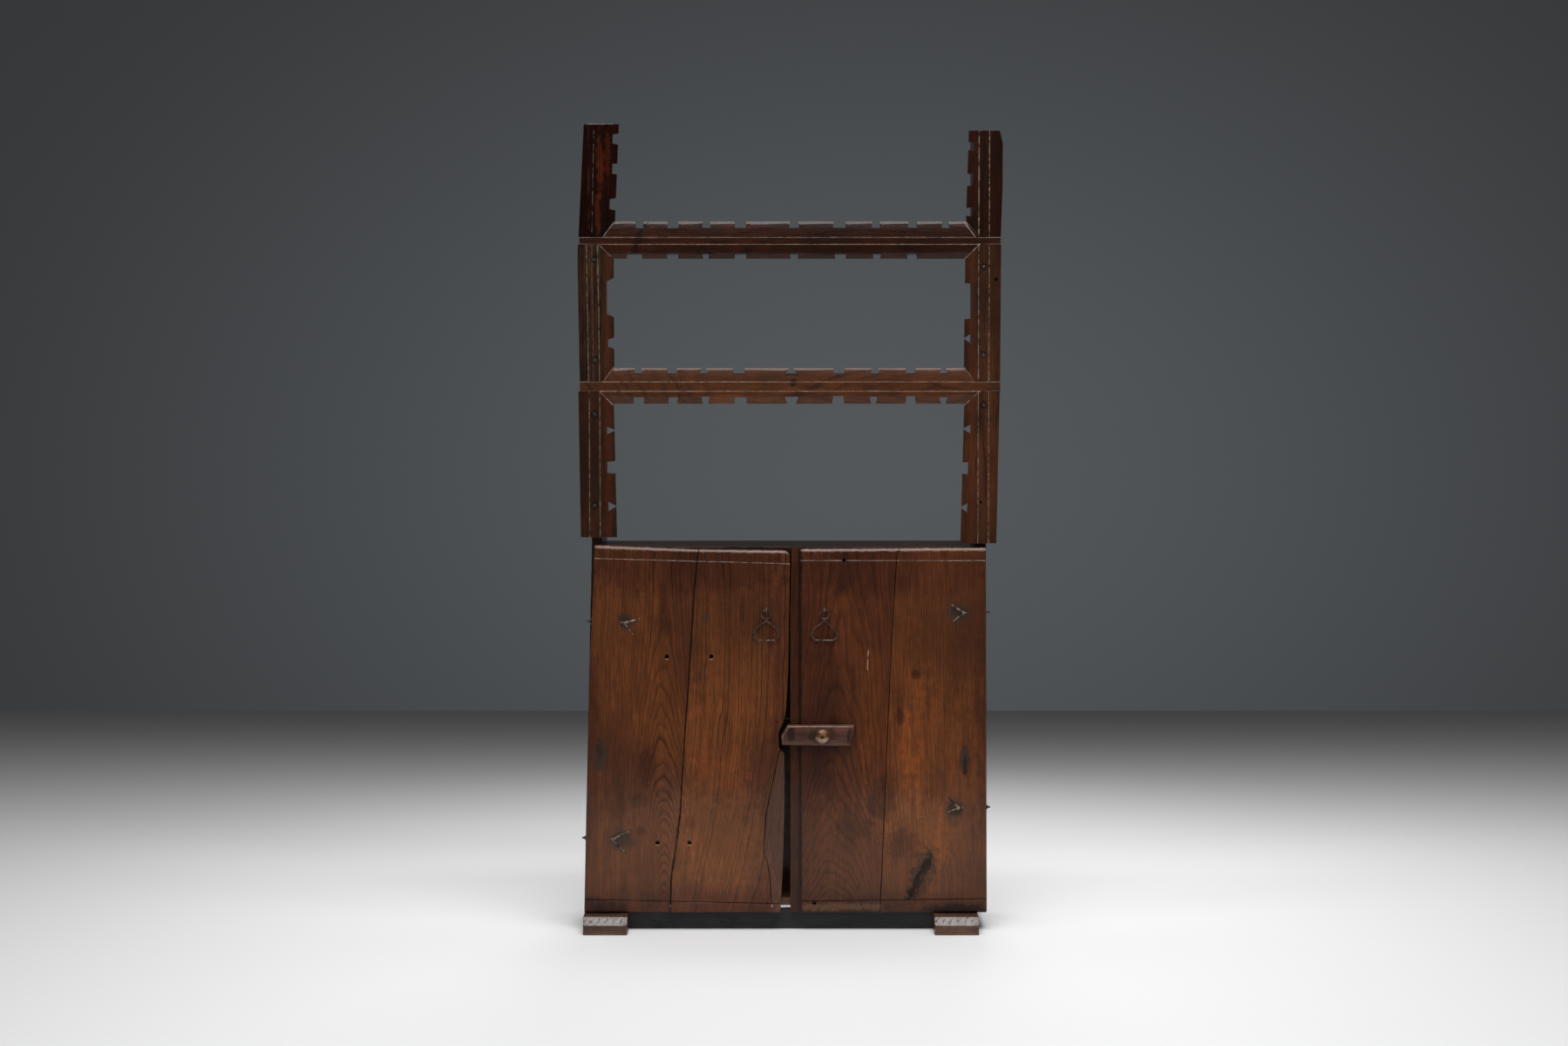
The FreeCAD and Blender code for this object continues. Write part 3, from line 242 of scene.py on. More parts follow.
def soft_step(tree, value, start, end):
    """0 below start and 1 above end, with a smooth run between them."""
    node = place(tree, "ShaderNodeMapRange", {0: value, 1: start, 2: end, 3: 0, 4: 1},
                 interpolation_type="SMOOTHSTEP")
    return node.outputs[0]


def soft_fall(tree, value, start, end):
    """1 below start and 0 above end."""
    return minus(tree, 1, soft_step(tree, value, start, end))


def noise_at(tree, vector, scale, detail, roughness, output="Fac"):
    node = place(tree, "ShaderNodeTexNoise",
                 {"Vector": vector, "Scale": scale, "Detail": detail, "Roughness": roughness})
    return node.outputs[output]


def object_point(tree):
    return place(tree, "ShaderNodeTexCoord").outputs["Object"]


def tone(red, green, blue):
    """A colour picked on a screen, as the linear values Blender wants."""
    linear = []
    for value in (red, green, blue):
        share = value / 255
        linear.append(share / 12.92 if share <= 0.04045 else ((share + 0.055) / 1.055) ** 2.4)
    return (*linear, 1.0)


def tones(*colours):
    return tuple(tone(*colour) for colour in colours)


def new_tree(name, kind, inputs, outputs, gives="Float"):
    """A node tree with named sockets, whose kinds follow from their values or are named."""
    tree = bpy.data.node_groups.new(name, kind)
    for label, value in inputs.items():
        named = isinstance(value, str)
        wanted = "NodeSocket" + value if named else SOCKETS[type(value)]
        socket = tree.interface.new_socket(label, in_out="INPUT", socket_type=wanted)
        if not named:
            socket.default_value = value
    for label in outputs:
        tree.interface.new_socket(label, in_out="OUTPUT", socket_type="NodeSocket" + gives)
    entry = tree.nodes.new("NodeGroupInput").outputs
    leave = tree.nodes.new("NodeGroupOutput").inputs
    return tree, entry, leave


def use_group(tree, group, inputs):
    return place(tree, "ShaderNodeGroup", inputs, node_tree=group).outputs


def relief(tree, strength, depth, height):
    inputs = {"Strength": strength, "Distance": depth, "Height": height}
    return place(tree, "ShaderNodeBump", inputs).outputs["Normal"]


def new_material(name):
    material = bpy.data.materials.new(name)
    material.use_nodes = True
    tree = material.node_tree
    return material, tree, tree.nodes["Principled BSDF"]


# %% [markdown]
# ## Sawn oak as a solid texture
#
# A plank is a slice through a round trunk. If the growth rings are computed as
# distances from the trunk's heart, in three dimensions, then the face, the edge
# and the end of the plank all show the right figure: straight lines where the
# cut runs along the rings, and nested arches where it grazes them. The heart
# leans near the foot and straightens above, as trunks do, and that puts the
# arches low on the door and leaves straight grain above them.

# %% Node group: sawn oak


def heart_shift(tree, along, lean, straighten):
    """How far the heart has moved at this height: fast near the foot, then less."""
    ratio = math_step(tree, "DIVIDE", along, straighten)
    left_over = math_step(tree, "EXPONENT", times(tree, ratio, -1))
    return times(tree, times(tree, minus(tree, 1, left_over), straighten), lean)


def ring_pattern(tree, radius, ring_width, seed):
    """Early and late wood: a dark band that fades, each year with its own strength."""
    uneven = place(tree, "ShaderNodeTexNoise", {"W": radius, "Scale": 90, "Detail": 1},
                   noise_dimensions="1D").outputs["Fac"]
    years = plus(tree, math_step(tree, "DIVIDE", radius, ring_width), times(tree, uneven, 1.6))
    season = math_step(tree, "FRACT", years)
    year = plus(tree, math_step(tree, "FLOOR", years), seed)
    strength = place(tree, "ShaderNodeTexWhiteNoise", {"W": year}, noise_dimensions="1D").outputs["Value"]
    early = soft_fall(tree, season, 0, 0.45)
    band = math_step(tree, "MAXIMUM", early, soft_step(tree, season, 0.86, 1))
    return times(tree, band, times_plus(tree, strength, 0.75, 0.25))


def make_sawn_oak():
    outputs = ("Ring", "Fibre", "Streak", "Pore", "Drift", "Height")
    tree, entry, leave = new_tree(
        "sawn_oak", "ShaderNodeTree",
        {"Place": "Vector", "Heart Across": 0.0, "Heart Depth": 0.08, "Lean Across": 0.0, "Lean Depth": 0.05,
         "Straighten": 0.3, "Ring Width": 0.0035, "Wander": 0.02, "Seed": 0.0}, outputs)
    grown = vector_step(tree, "ADD", entry["Place"], scaled(tree, (3.1, 5.7, 1.9), entry["Seed"]))
    slow = stretched(tree, grown, 0.32)
    middle = (0.5, 0.5, 0.5)
    sway = vector_step(tree, "SUBTRACT", noise_at(tree, slow, 6, 2, 0.45, "Color"), middle)
    ripple = vector_step(tree, "SUBTRACT", noise_at(tree, slow, 34, 2, 0.5, "Color"), middle)
    bend = vector_step(tree, "ADD", sway, vector_step(tree, "MULTIPLY", ripple, (0.16, 0.16, 0.16)))
    bend = scaled(tree, bend, times(tree, entry["Wander"], 2))
    parts = parts_of(tree, vector_step(tree, "ADD", entry["Place"], bend))
    sides = ((parts[0], "Heart Across", "Lean Across"), (parts[1], "Heart Depth", "Lean Depth"))
    reach = []
    for part, heart, lean in sides:
        centre = plus(tree, entry[heart], heart_shift(tree, parts[2], entry[lean], entry["Straighten"]))
        gap = minus(tree, part, centre)
        reach.append(times(tree, gap, gap))
    radius = math_step(tree, "SQRT", plus(tree, *reach))
    ring = ring_pattern(tree, radius, entry["Ring Width"], entry["Seed"])
    fibre = noise_at(tree, stretched(tree, grown, 0.06), 460, 3, 0.7)
    streak = noise_at(tree, stretched(tree, grown, 0.07), 120, 3, 0.6)
    pore = soft_step(tree, noise_at(tree, stretched(tree, grown, 0.09), 820, 2, 0.6), 0.55, 0.66)
    pore = times(tree, pore, times_plus(tree, ring, 0.6, 0.4))
    drift = soft_step(tree, noise_at(tree, stretched(tree, grown, 0.45), 5, 4, 0.6), 0.36, 0.64)
    height = times_plus(tree, pore, -0.7, times(tree, ring, -0.3))
    height = times_plus(tree, fibre, 0.5, height)
    for name, value in zip(outputs, (ring, fibre, streak, pore, drift, height)):
        feed(tree, leave[name], value)
    return tree


sawn_oak = make_sawn_oak()
print("group", sawn_oak.name, "nodes", len(sawn_oak.nodes))

# %% [markdown]
# ## Marks: spots, cracks and dusty lines
#
# Old boards carry marks in known places: an oval stain, a knot, a crack that
# runs from a nail, dust in a scribed line. Other marks are painted light and
# shade: highlights along grooves and rims, shade in recesses and above the feet.
# Two groups measure how near a point of the front face is to such a mark. A
# spot is an oval with a ragged rim, and a line is the distance to a straight
# stretch, both disturbed by a little noise.

# %% Node groups: spot and line


def front_only(tree, depth, front):
    """1 on the front face, fading to 0 a few millimetres into the board."""
    return soft_fall(tree, minus(tree, depth, front), 0.006, 0.012)


def make_spot():
    tree, entry, leave = new_tree(
        "spot_mark", "ShaderNodeTree",
        {"Place": "Vector", "X": 0.0, "Z": 0.0, "Half Width": 0.02, "Half Height": 0.04,
         "Front": -0.1025, "Ragged": 0.5}, ["Mask"])
    parts = parts_of(tree, entry["Place"])
    total = []
    for part, middle, half in ((parts[0], "X", "Half Width"), (parts[2], "Z", "Half Height")):
        share = math_step(tree, "DIVIDE", minus(tree, part, entry[middle]), entry[half])
        total.append(times(tree, share, share))
    reach = math_step(tree, "SQRT", plus(tree, *total))
    torn = minus(tree, noise_at(tree, entry["Place"], 55, 3, 0.6), 0.5)
    reach = times_plus(tree, torn, times(tree, entry["Ragged"], 2), reach)
    mask = soft_fall(tree, reach, 0.55, 1.1)
    feed(tree, leave["Mask"], times(tree, mask, front_only(tree, parts[1], entry["Front"])))
    return tree


def make_line():
    tree, entry, leave = new_tree(
        "line_mark", "ShaderNodeTree",
        {"Place": "Vector", "Start": (0.0, 0.0, 0.0), "End": (0.0, 0.0, 1.0), "Width": 0.002,
         "Front": -0.1025, "Ragged": 0.5}, ["Mask"])
    parts = parts_of(tree, entry["Place"])
    flat = joined(tree, parts[0], 0, parts[2])
    run = vector_step(tree, "SUBTRACT", entry["End"], entry["Start"])
    start = vector_step(tree, "SUBTRACT", flat, entry["Start"])
    ahead = vector_step(tree, "DOT_PRODUCT", start, run, output="Value")
    length = vector_step(tree, "DOT_PRODUCT", run, run, output="Value")
    share = place(tree, "ShaderNodeClamp", {0: math_step(tree, "DIVIDE", ahead, length)}).outputs[0]
    beside = vector_step(tree, "SUBTRACT", start, scaled(tree, run, share))
    away = vector_step(tree, "LENGTH", beside, output="Value")
    jitter = minus(tree, noise_at(tree, entry["Place"], 90, 3, 0.6), 0.5)
    jitter = times(tree, jitter, times(tree, entry["Ragged"], entry["Width"]))
    away = plus(tree, away, times(tree, jitter, 3))
    half = times(tree, entry["Width"], 0.5)
    mask = soft_fall(tree, away, times(tree, half, 0.3), half)
    feed(tree, leave["Mask"], times(tree, mask, front_only(tree, parts[1], entry["Front"])))
    return tree


spot_mark = make_spot()
line_mark = make_line()
print("groups", spot_mark.name, line_mark.name)

# %% [markdown]
# ## Wear and grime
#
# Hands, cloths and feet polish the arrises and leave dirt in the hollows. The
# worn copies made later store which faces are arris faces, so this group only
# reads that attribute and breaks it up. Broad noise gives the smoky patches
# that wax and soot leave on a face.

# %% Node group: wear


def make_wear():
    tree, entry, leave = new_tree("wear_and_grime", "ShaderNodeTree", {"Place": "Vector", "Seed": 0.0},
                                  ["Arris", "Smoke", "Dimple"])
    arris = place(tree, "ShaderNodeAttribute", attribute_name="arris").outputs["Fac"]
    moved = vector_step(tree, "ADD", entry["Place"], joined(tree, entry["Seed"], entry["Seed"]))
    broken = soft_step(tree, noise_at(tree, moved, 26, 3, 0.6), 0.38, 0.62)
    feed(tree, leave["Arris"], times(tree, arris, broken))
    feed(tree, leave["Smoke"], soft_step(tree, noise_at(tree, moved, 8, 4, 0.6), 0.5, 0.72))
    feed(tree, leave["Dimple"], noise_at(tree, moved, 38, 2, 0.5))
    return tree


wear = make_wear()
print("group", wear.name)

# %% [markdown]
# ## The waxed oak finish
#
# One function makes each plank's material from the shared groups: where the
# heart of its trunk lay, which way the grain runs, and its tones. The light tone
# fills the late wood, the deep tone the rings and pores. Stains and painted shade
# multiply what lies under them, so the grain still shows through, and dust and
# painted highlights lie on top. The wax gives a weak coat, and the pores are a
# little rougher than the rest.

# %% Function: oak finish
AXES = {"Z": (0, 1, 2), "X": (2, 1, 0), "Y": (0, 2, 1)}
# Dust, and also a painted highlight along scribed grooves and the rims of holes.
DUST_AND_HIGHLIGHT = ("MIX", tone(176, 158, 140))
# Soot and dirt, and also painted shade in recesses and above the feet.
SOOT_AND_SHADE = ("MULTIPLY", (0.06, 0.055, 0.055, 1))
STAIN = ("MULTIPLY", (0.42, 0.38, 0.42, 1))
GREY_STAIN = ("MIX", tone(47, 41, 37))
EMBER = ("MIX", tone(104, 42, 15))
FLANK = ("MIX", tone(90, 40, 17))
MAUVE = ("MULTIPLY", (0.74, 0.66, 0.74, 1))
AMBER = ("MULTIPLY", (1.5, 1.38, 1.15, 1))
# Rubbed pale wood, and also a painted highlight on rounded tops and arrises.
RUBBED_AND_HIGHLIGHT = ("MIX", tone(205, 188, 178))
PALE = ("MIX", tone(200, 160, 120))
ROSY = ("MIX", tone(186, 116, 96))
PIT = ("MULTIPLY", (0.1, 0.07, 0.04, 1))
GILT = ("MIX", tone(132, 84, 34))
WORN_TONE = tone(170, 128, 96)
OAK_BUMP = 0.4
OAK_BUMP_DEPTH = 0.0012
DOOR_FRONT = -102.5


def grain_place(tree, point, along):
    """The same point with its parts ordered across, deep and along the grain."""
    parts = parts_of(tree, point)
    return joined(tree, *(parts[index] for index in AXES[along]))


def paint_marks(tree, point, colour, marks):
    """Lays each mark over the colour. Also returns how far soot, grey stain and painted shade reach."""
    soot_and_shade_share = 0
    for group, values, paint, strength in marks:
        mask = times(tree, use_group(tree, group, {"Place": point, **values})["Mask"], strength)
        colour = blend_colour(tree, mask, colour, paint[1], paint[0])
        if paint in (SOOT_AND_SHADE, GREY_STAIN):
            soot_and_shade_share = math_step(tree, "MAXIMUM", soot_and_shade_share, mask)
    return colour, soot_and_shade_share


def oak(name, along, heart, lean, palette, ring=3.5, wander=20, seed=0, gloss=0.45, smoke=0.5,
        rings=0.6, marks=(), straighten=300, rubbed=0.5, polish=0.12):
    """A waxed oak material. Lengths are in millimetres."""
    light, middle, deep = palette
    material, tree, shader = new_material(name)
    point = object_point(tree)
    wood = use_group(tree, sawn_oak, {
        "Place": grain_place(tree, point, along), "Heart Across": heart[0] * MM,
        "Heart Depth": heart[1] * MM, "Lean Across": lean[0], "Lean Depth": lean[1],
        "Straighten": straighten * MM, "Ring Width": ring * MM, "Wander": wander * MM, "Seed": seed})
    worn = use_group(tree, wear, {"Place": point, "Seed": seed})
    colour = blend_colour(tree, wood["Drift"], light, middle)
    streaks = times(tree, soft_step(tree, wood["Streak"], 0.4, 0.7), 0.7)
    colour = blend_colour(tree, streaks, colour, middle)
    colour = blend_colour(tree, times(tree, wood["Ring"], rings), colour, deep)
    colour = blend_colour(tree, 1, colour, times_plus(tree, wood["Fibre"], 1.7, 0.15), "MULTIPLY")
    colour = blend_colour(tree, times(tree, wood["Pore"], 0.55), colour, deep)
    colour = blend_colour(tree, times(tree, worn["Smoke"], smoke), colour, deep)
    colour, soot_and_shade_share = paint_marks(tree, point, colour, marks)
    worn_tone = blend_colour(tree, 0.4, light, WORN_TONE)
    clean = times(tree, minus(tree, 1, soot_and_shade_share), rubbed)
    colour = blend_colour(tree, times(tree, worn["Arris"], clean), colour, worn_tone)
    rough = times_plus(tree, wood["Pore"], 0.22, gloss)
    rough = times_plus(tree, worn["Smoke"], 0.1, rough)
    height = times_plus(tree, worn["Dimple"], 1.2, wood["Height"])
    height = times_plus(tree, soot_and_shade_share, -3, height)
    fill(tree, shader, {
        "Base Color": colour, "Roughness": rough,
        "Normal": relief(tree, OAK_BUMP, OAK_BUMP_DEPTH, height), "Specular IOR Level": 0.1,
        "Coat Weight": 0.3, "Coat Roughness": polish})
    return material


def spot(x, z, half_width, half_height, paint, strength, ragged=0.5, front=DOOR_FRONT):
    return (spot_mark, {"X": x * MM, "Z": z * MM, "Half Width": half_width * MM,
                        "Half Height": half_height * MM, "Front": front * MM, "Ragged": ragged},
            paint, strength)


def line(start, end, width, paint=SOOT_AND_SHADE, strength=0.9, ragged=0.6, front=DOOR_FRONT):
    return (line_mark, {"Start": (start[0] * MM, 0, start[1] * MM), "End": (end[0] * MM, 0, end[1] * MM),
                        "Width": width * MM, "Front": front * MM, "Ragged": ragged}, paint, strength)


def spots(paint, *rows):
    """Spots of one paint: place, half sizes, strength and raggedness of each."""
    return [spot(x, z, wide, tall, paint, *rest) for x, z, wide, tall, *rest in rows]


def on_front(front, marks):
    """The same marks on a face that stands at another depth."""
    return [(group, {**values, "Front": front * MM}, paint, strength)
            for group, values, paint, strength in marks]


# %% [markdown]
# ## The door planks
#
# Each door is two broad planks. The left one's arches nest low down on both
# sides of its joint. The right one is straighter, smoky low down, with an oval
# knot by its edge and a rotted one near its foot. The middle of both doors is
# painted more orange, low down most of all, and the borders red and dark. Shade
# is painted above each foot, on the recessed lip and deep in the rotted knot,
# and highlights along the rounded tops, the scribed lines and the peg holes'
# lips. Every mark is placed in millimetres on the front of the doors.

# %% Materials: left door


def hole_lip_highlights(*places):
    """The lower lip of each peg hole, rubbed pale, with a painted highlight where light from above catches
    it.
    """
    return [spot(x, z - 6.4, 3.8, 1.1, DUST_AND_HIGHLIGHT, 0.6, 0.15) for x, z in places]


def joint_shadow(course, widths, strength):
    """The dark of the narrow gap between two planks, along its course."""
    return [line(start, end, width, SOOT_AND_SHADE, strength, 0.35)
            for start, end, width in zip(course, course[1:], widths)]


LEFT_JOINT = [(-282, 34), (-279.5, 118), (-258.5, 268), (-249, 428), (-224, 806), (-213.5, 906)]
RIGHT_JOINT = [(212, 34), (215.5, 116), (226, 385), (236, 640), (250, 890), (256, 906)]
DOOR_TONES = tones((96, 53, 26), (68, 36, 18), (32, 16, 9))
DOOR_RED_TONES = tones((84, 44, 21), (60, 30, 15), (27, 13, 8))
FIGURED_TONES = tones((102, 57, 28), (74, 40, 20), (31, 16, 9))
SPLIT_TONES = tones((106, 70, 52), (78, 50, 37), (38, 23, 17))
LEFT_HEART = (-299, -105)
LEFT_LEAN = (0.02, 0.2)
INNER_HEART = (-420, -40)
INNER_LEAN = (0.45, 0.12)
left_joint_dark = joint_shadow(LEFT_JOINT, (7, 7.5, 6, 5, 5.5), 0.75)
# The upper scribe holds dust and a painted highlight on its lower edge, the lower one is darkened.
left_scribes = [line((-495.5, 880), (12, 866), 1.8, DUST_AND_HIGHLIGHT, 0.6, 0.5),
                line((-495.5, 74), (12, 63), 3, SOOT_AND_SHADE, 0.5)]
# Painted highlight along the rubbed rounded top of the door, and painted shade low on the door over the foot
# block.
left_nosing_highlight_and_foot_shade = [line((-495.5, 906), (-217, 896.5), 9, RUBBED_AND_HIGHLIGHT, 0.22, 0.25),
               line((-214, 896.5), (10, 893.5), 9, RUBBED_AND_HIGHLIGHT, 0.22, 0.25),
               spot(-423, 50, 50, 20, SOOT_AND_SHADE, 0.5)]
left_ground = (
    spots(MAUVE, (-482, 520, 34, 420, 0.9, 0.8), (-20, 640, 40, 300, 0.8, 0.8))
    + spots(STAIN, (-250, 885, 320, 90, 0.42, 0.7)) + spots(PALE, (-250, 190, 320, 160, 0.028))
    + spots(MAUVE, (-250, 50, 300, 60, 0.9, 0.6), (-250, 850, 300, 70, 0.7, 0.6))
    + spots(AMBER, (-320, 560, 110, 220, 0.5, 0.6), (-150, 480, 90, 240, 0.35, 0.6),
            (-160, 250, 110, 190, 0.95), (-330, 200, 120, 130, 0.35, 0.6)))
left_edges = left_scribes + left_nosing_highlight_and_foot_shade + left_joint_dark
left_outer_marks = (
    spots(GREY_STAIN, (-446, 414, 18, 46, 0.65)) + spots(AMBER, (-446, 372, 8, 7, 0.9, 0.4))
    + spots(SOOT_AND_SHADE, (-448, 428, 9, 26, 0.35, 0.9), (-398, 220, 22, 20, 0.5, 1), (-390, 731, 20, 17, 0.6, 1))
    + spots(STAIN, (-336, 392, 24, 60, 0.7, 0.8), (-356, 310, 28, 20, 0.5, 0.9),
            (-398, 300, 12, 60, 0.4, 0.9))
    + spots(GREY_STAIN, (-385, 729, 26, 24, 0.5, 0.9), (-398, 216, 36, 34, 0.45, 1))
    + spots(STAIN, (-352, 235, 16, 12, 0.5, 1), (-474, 60, 60, 30, 0.8)))
left_inner_marks = (
    spots(GREY_STAIN, (-198, 739, 9, 17, 0.55)) + spots(STAIN, (-56, 722, 32, 36, 0.35))
    + spots(SOOT_AND_SHADE, (-30, 494, 2.6, 2.6, 1, 0.1))
    + spots(STAIN, (-112, 752, 8, 34, 0.5, 0.9), (-104, 262, 10, 16, 0.4, 0.9),
            (-234, 256, 14, 18, 0.5, 0.9)))
left_outer_oak = oak(
    "oak_left_outer", "Z", LEFT_HEART, LEFT_LEAN, DOOR_TONES, wander=14, seed=1, rings=0.9,
    straighten=500, smoke=0.2, rubbed=0.12,
    marks=left_ground + left_outer_marks + left_edges + hole_lip_highlights((-288.5, 648), (-311, 209)))
left_inner_oak = oak(
    "oak_left_inner", "Z", INNER_HEART, INNER_LEAN, FIGURED_TONES, ring=6.6, wander=32, seed=2, rings=0.9,
    straighten=250, smoke=0.2, rubbed=0.12,
    marks=left_ground + left_inner_marks + left_edges + hole_lip_highlights((-184, 648), (-236, 209)))
split_oak = oak(
    "oak_split_strip", "Z", INNER_HEART, INNER_LEAN, SPLIT_TONES, ring=4.2, wander=28, seed=2, rings=0.8,
    straighten=250, rubbed=0.2, marks=left_scribes)

# %% Materials: right door
RIGHT_HEART = (96, 110)
RIGHT_LEAN = (0.1, 0.2)
LIP_FRONT = -96
VOID_FRONT = -86
right_joint_dark = joint_shadow(RIGHT_JOINT, (5, 3, 3, 3, 5.5), 0.4)
# Painted shade on the recessed lip, where the left door closes over it.
rebate_lip_shade = on_front(LIP_FRONT, [line((10, 30), (10, 910), 36, SOOT_AND_SHADE, 0.3, 0.15),
                                  line((24, 30), (24, 910), 14, SOOT_AND_SHADE, 0.6, 0.15)])
# The upper scribe holds dust and a painted highlight on its lower edge, the lower one is darkened.
right_scribes = [line((0, 874), (495.5, 874), 1.8, DUST_AND_HIGHLIGHT, 0.6, 0.5),
                 line((0, 69.5), (495.5, 76), 3, SOOT_AND_SHADE, 0.6)]
# Painted highlight along the rubbed rounded top of the door, and painted shade low on the door over the foot
# block.
right_nosing_highlight_and_foot_shade = [line((30, 897), (252, 898.5), 9, RUBBED_AND_HIGHLIGHT, 0.25, 0.25),
                line((256, 898.5), (495.5, 900), 9, RUBBED_AND_HIGHLIGHT, 0.25, 0.25),
                spot(400, 44, 100, 24, SOOT_AND_SHADE, 0.85)]
right_ground = (
    spots(MAUVE, (476, 560, 44, 400, 0.9, 0.8), (250, 850, 300, 70, 0.8, 0.6), (250, 50, 300, 50, 0.8, 0.6),
          (60, 560, 60, 420, 0.8, 0.7))
    + spots(PALE, (250, 190, 300, 150, 0.03))
    + spots(AMBER, (240, 560, 90, 260, 0.5, 0.7), (330, 360, 80, 240, 0.35, 0.8),
            (272, 430, 12, 120, 0.5, 0.8), (306, 340, 12, 120, 0.5, 0.8),
            (356, 220, 18, 80, 0.5, 0.8), (178, 420, 12, 90, 0.5, 0.8),
            (232, 250, 12, 60, 0.5, 0.8), (200, 220, 200, 170, 0.45), (110, 700, 110, 120, 0.3, 0.6))
    + spots(STAIN, (150, 250, 50, 60, 0.5, 1.2), (218, 300, 40, 50, 0.6, 1.2), (238, 352, 26, 44, 0.5, 1.2),
            (262, 210, 50, 46, 0.55, 1.2)))
right_edges = right_scribes + right_nosing_highlight_and_foot_shade + right_joint_dark
right_inner_marks = [line((127, 878), (129, 903), 3), line((182, 618), (184, 664), 2.4, DUST_AND_HIGHLIGHT, 0.5),
                     spot(81, 690, 34, 26, STAIN, 0.35), line((36, 55), (220, 57), 24, PALE, 0.08, 0.3)]
# Stain round the rotted knot, and painted shade deep inside its hole.
rotted_void_and_shade = [line((327, 176), (296, 96), 62, STAIN, 0.7, 0.5), spot(316, 142, 26, 36, GREY_STAIN, 0.5, 0.9),
               line((331, 176), (282, 82), 24, SOOT_AND_SHADE, 0.85, 0.7, VOID_FRONT),
               line((322, 168), (304, 130), 44, GREY_STAIN, 0.45, 0.8)]
right_outer_marks = (
    spots(GREY_STAIN, (410, 404, 11, 38, 0.9, 0.25)) + spots(SOOT_AND_SHADE, (412, 388, 6, 26, 0.55, 0.6)) + rotted_void_and_shade
    + spots(STAIN, (295, 607, 13, 14, 0.9), (258, 507, 11, 26, 0.8), (250, 540, 20, 40, 0.3, 1))
    + spots(GREY_STAIN, (385, 286, 26, 32, 0.5, 0.9))
    + spots(SOOT_AND_SHADE, (388, 288, 20, 18, 0.55, 1), (396, 754, 20, 17, 0.55, 1))
    + spots(GREY_STAIN, (394, 751, 30, 28, 0.6, 0.8)))
right_inner_oak = oak(
    "oak_right_inner", "Z", RIGHT_HEART, RIGHT_LEAN, DOOR_RED_TONES, ring=3.2, wander=12, seed=4,
    smoke=0.3, rubbed=0.12, marks=right_ground + right_inner_marks + right_edges + rebate_lip_shade)
right_outer_oak = oak(
    "oak_right_outer", "Z", RIGHT_HEART, RIGHT_LEAN, DOOR_TONES, ring=3.2, wander=12, seed=4,
    smoke=0.3, rubbed=0.12, marks=right_ground + right_outer_marks + right_edges)
print("door materials", len(bpy.data.materials))

# %% [markdown]
# ## The other timbers
#
# The rack's mouldings are darker and redder than the doors and more polished
# above than below. The stiles differ: one was never waxed and went grey and
# streaky. Case boards are nearly black with soot on their outsides. The feet
# are bare, and the board between them is almost charcoal.

# %% Materials: rack
RACK_TONES = tones((52, 22, 11), (33, 14, 7), (15, 7, 4))
RACK_RED_TONES = tones((34, 9, 4), (18, 5, 3), (9, 3, 2))
RAIL_TONES = tones((96, 53, 27), (67, 36, 18), (27, 14, 8))
LOWER_TONES = tones((72, 40, 21), (48, 26, 14), (19, 11, 7))
LEFT_LOWER_TONES = tones((58, 30, 15), (38, 19, 10), (16, 9, 5))
GREY_TONES = tones((54, 32, 18), (30, 16, 9), (12, 6, 4))
FRAME_FRONT = -101
left_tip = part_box("left_stile_upper")[1].z / MM - 0.6
MITRE_STARTS = {"above": 436, "below": 446}
MITRE_END = 410
MITRE_RISE = 35
RIGHT_SHIFT = -4
TOP_RAIL = (1612, 1628)
MIDDLE_RAIL = (1270, 1292)


def stile_dust_and_highlight(side, low, high, centre, strength=0.5):
    """Dust and a painted highlight in the two lines scribed down a stile."""
    return [line((side * (centre + edge), low), (side * (centre + edge), high), 1.7, DUST_AND_HIGHLIGHT, strength, 0.9)
            for edge in (-12.25, 12.25)]


def rail_dust_and_highlight(heights, strength):
    """Dust and a painted highlight in the two lines scribed along a rail."""
    return [line((-491, z), (491, z), 1.7, DUST_AND_HIGHLIGHT, strength, 0.6) for z in heights]


def inner_flank(side, low, high):
    """The orange band painted down the flank on the open side of a stile."""
    return [line((side * 424, low), (side * 424, high), 24, FLANK, 0.24, 0.3)]


def mitre_edges(low, high):
    """The rubbed arrises of the four mitres that meet one rail."""
    drawn = []
    for side, shift in ((-1, 0), (1, RIGHT_SHIFT)):
        for where, start, rise in (("above", high, MITRE_RISE), ("below", low, -MITRE_RISE)):
            drawn.append(line((side * (MITRE_STARTS[where] + shift), start),
                              (side * (MITRE_END + shift), start + rise), 1.8, RUBBED_AND_HIGHLIGHT, 0.35, 0.7))
    return drawn


def frame_oak(name, along, heart, lean, palette, marks, ring=3, wander=6, rubbed=0.3, polish=0.06, **look):
    """Oak for the front frame of the rack, with its marks on the frame's face."""
    return oak(name, along, heart, lean, palette, marks=on_front(FRAME_FRONT, marks), ring=ring,
               wander=wander, rubbed=rubbed, polish=polish, **look)


fissure_lines = []
for step in range(6):
    across = -485 + step * 9 + 2.5 * math.sin(step * 2.3)
    fissure_lines.append(line((across, 1292), (across + 2, 1612), 2.8, SOOT_AND_SHADE, 0.55, 0.9))
for across, share in ((-474, 0.2), (-462, 0.07), (-448, 0.2)):
    fissure_lines.append(line((across + 4, 1292), (across, 1612), 3.2, DUST_AND_HIGHLIGHT, share, 0.7))
nail_stains = [spot(point.x / MM, point.z / MM, 9, 11, SOOT_AND_SHADE, 0.6, 0.8) for point in frame_nails]
top_mitres = mitre_edges(*TOP_RAIL)
middle_mitres = mitre_edges(*MIDDLE_RAIL)
patch_joint = [line((-343, 1650), (-370, 1578), 24, SOOT_AND_SHADE, 0.6, 0.5), spot(-320, 1640, 9, 22, AMBER, 1, 0.4)]
